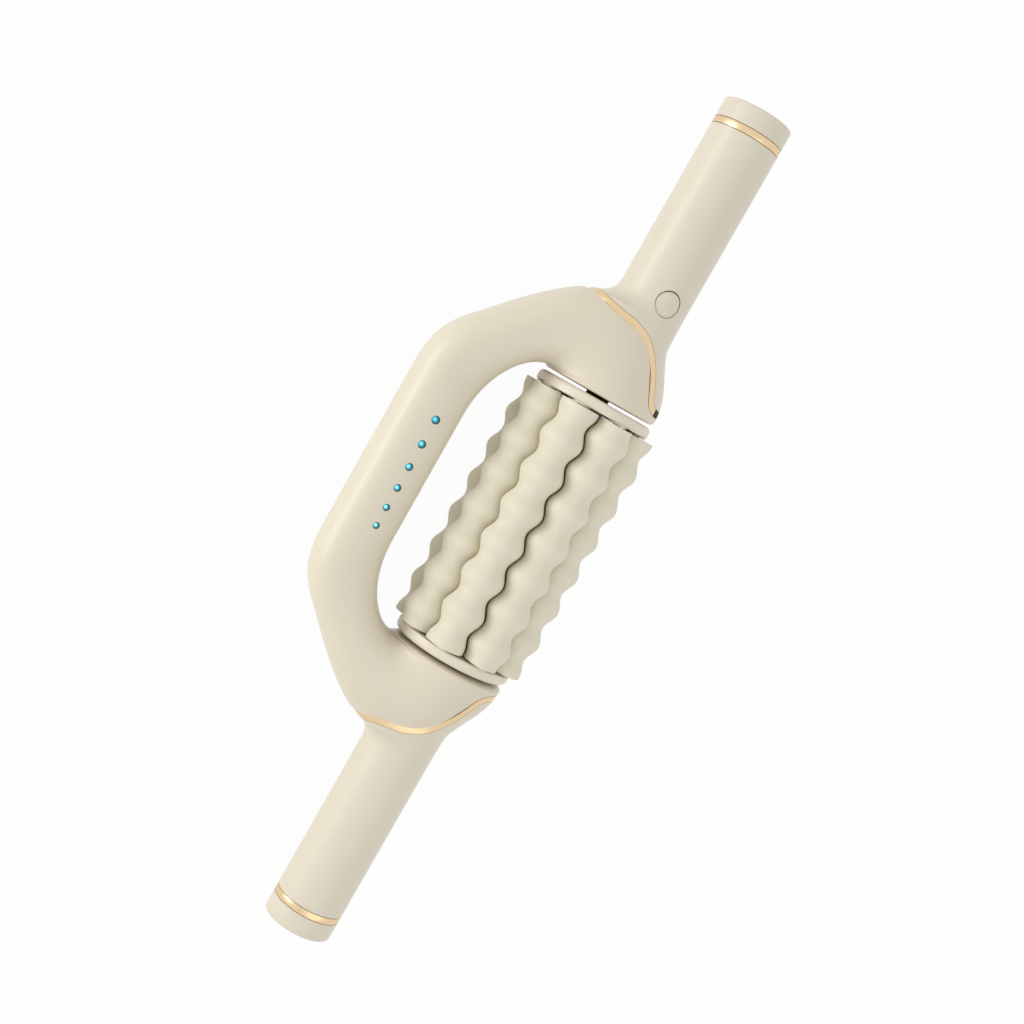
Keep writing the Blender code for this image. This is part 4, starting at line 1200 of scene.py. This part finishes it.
for index in range(1, ROD_COUNT + 1):
    crest = 1 if index % 2 else -1
    _, y, z = joints[f"rod_{index}_spin"]["pos_m"]
    profile = []
    for step in range(ROD_STEPS + 1):
        x = ROD_HALF_LENGTH * (1 - 2 * step / ROD_STEPS)
        wave = math.cos(math.tau * x / ROD_WAVE_PITCH)
        profile.append((x, ROD_MEAN_RADIUS + crest * wave_height(x) * wave))
    bore = PIN_RADIUS + GAP
    profile += [(-ROD_HALF_LENGTH, bore), (ROD_HALF_LENGTH, bore)]
    form = soften(turned(profile, (y, z), closed=True, steps=ROD_TURN_STEPS), ROD_END_EDGE)
    rod = new_object(f"fine_massage_rod_{index}", form)
    dress(rod, f"rod_{index}", SILICONE, "silicone", f"massage_rod_{index}")
print("rods:", ROD_COUNT, "with", len(rod.data.polygons), "faces each")

# %% [markdown]
# ## Discs, shafts and core
# The discs are moulded. Their rims are well rounded toward the hubs and nearly sharp toward the
# rods. A low boss round each pin keeps the rod's end off the disc, so the gap between them shows
# as a thin dark line with a light dash at every rod. A wider boss in the middle carries the end
# of the core tube and keeps daylight out of that line. The shafts bridge the gap to the hubs, and
# the core tube closes the view between the rods.

# %% Discs, shafts and core
DISC_ROUNDING = 0.0008
DISC_OUTER_ROUNDING = 0.0026
BOSS_RADIUS = 0.0053
BOSS_HEIGHT = 0.0009
BOSS_STEPS = 48
MIDDLE_BOSS_RADIUS = 0.0185
SHAFT_EDGE = 0.0003


def rod_circle(radius, low, high):
    """Short cylinders on the rods' circle."""
    form = bmesh.new()
    for index in range(1, ROD_COUNT + 1):
        _, y, z = joints[f"rod_{index}_spin"]["pos_m"]
        matrix = Matrix.Translation(((low + high) / 2, y, z)) @ Matrix.Rotation(
            math.pi / 2, 4, "Y")
        bmesh.ops.create_cone(form, cap_ends=True, segments=BOSS_STEPS, radius1=radius,
                              radius2=radius, depth=abs(high - low), matrix=matrix)
    return form


core_low, core_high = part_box("core_tube")
core_radius = (core_high.y - core_low.y) / 2
pin_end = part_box("rod_pin_1")[1].x
face = disc_low.x + BOSS_HEIGHT
rim = DISC_RADIUS - DISC_ROUNDING
outer_rim = DISC_RADIUS - DISC_OUTER_ROUNDING
hole = SHAFT_RADIUS + GAP
for end, sign in (("upper", 1), ("lower", -1)):
    disc_profile = [(disc_low.x, hole), (disc_low.x, MIDDLE_BOSS_RADIUS),
                    (face, MIDDLE_BOSS_RADIUS)]
    disc_profile += arc(face + DISC_ROUNDING, rim, DISC_ROUNDING, 180, 90)
    disc_profile += arc(disc_high.x - DISC_OUTER_ROUNDING, outer_rim, DISC_OUTER_ROUNDING, 90, 0)
    disc_profile += [(disc_high.x, hole)]
    disc = new_object(f"fine_{end}_end_disc",
                      turned(facing(disc_profile, sign), (AXIS_Y, 0), closed=True))
    bosses = rod_circle(BOSS_RADIUS, sign * disc_low.x, sign * (face + BOSS_HEIGHT))
    carve(disc, bosses, "UNION")
    carve(disc, rod_circle(PIN_RADIUS + GAP, 0, sign * (pin_end + GAP)))
    dress(disc, "drum", DISC_ABS, "handle", f"{end}_end_disc")
    shaft_low, shaft_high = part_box(f"{end}_shaft")
    tip = shaft_high.x if sign > 0 else -shaft_low.x
    root = shaft_low.x if sign > 0 else -shaft_high.x
    plug = (shaft_high.y - shaft_low.y) / 2
    shaft_profile = [(tip, 0), (tip, SHAFT_RADIUS), (ROD_HALF_LENGTH, SHAFT_RADIUS),
                     (ROD_HALF_LENGTH, plug), (root, plug), (root, 0)]
    form = soften(turned(facing(shaft_profile, sign), (AXIS_Y, 0)), SHAFT_EDGE)
    shaft = new_object(f"fine_{end}_shaft", form)
    dress(shaft, "drum", SHAFT_STEEL, "steel", f"{end}_shaft")
core_profile = [(core_low.x, core_radius), (core_high.x, core_radius),
                (core_high.x, core_radius - WALL), (core_low.x, core_radius - WALL)]
core = new_object("fine_core_tube", turned(core_profile, (AXIS_Y, 0), closed=True))
dress(core, "drum", CORE_METAL, "core", "core_tube")
print("drum pieces:", disc.name, len(disc.data.polygons), "faces;", shaft.name, core.name)

# %% [markdown]
# ## Finishes for the pieces that stay as they are
# The pins, bearings, motor, boards and battery keep their plain solids, because nothing of their
# surface can be seen. Each gets its own finish.

# %% Finishes of the inner pieces
INNER_FINISHES = {
    "rod_pin": SHAFT_STEEL,
    "bearing_carrier": NYLON,
    "bearing": CAN_METAL,
    "gear": CAN_METAL,
    "board": BOARD,
    "push_switch": NYLON,
    "battery_cell": SLEEVE,
    "battery_holder": NYLON,
}
for name, item in frame["nodes"].items():
    if item.hide_render:
        continue
    material = next(look for part, look in INNER_FINISHES.items() if part in name)
    item.data.materials.clear()
    item.data.materials.append(material)
    print(name, material.name)
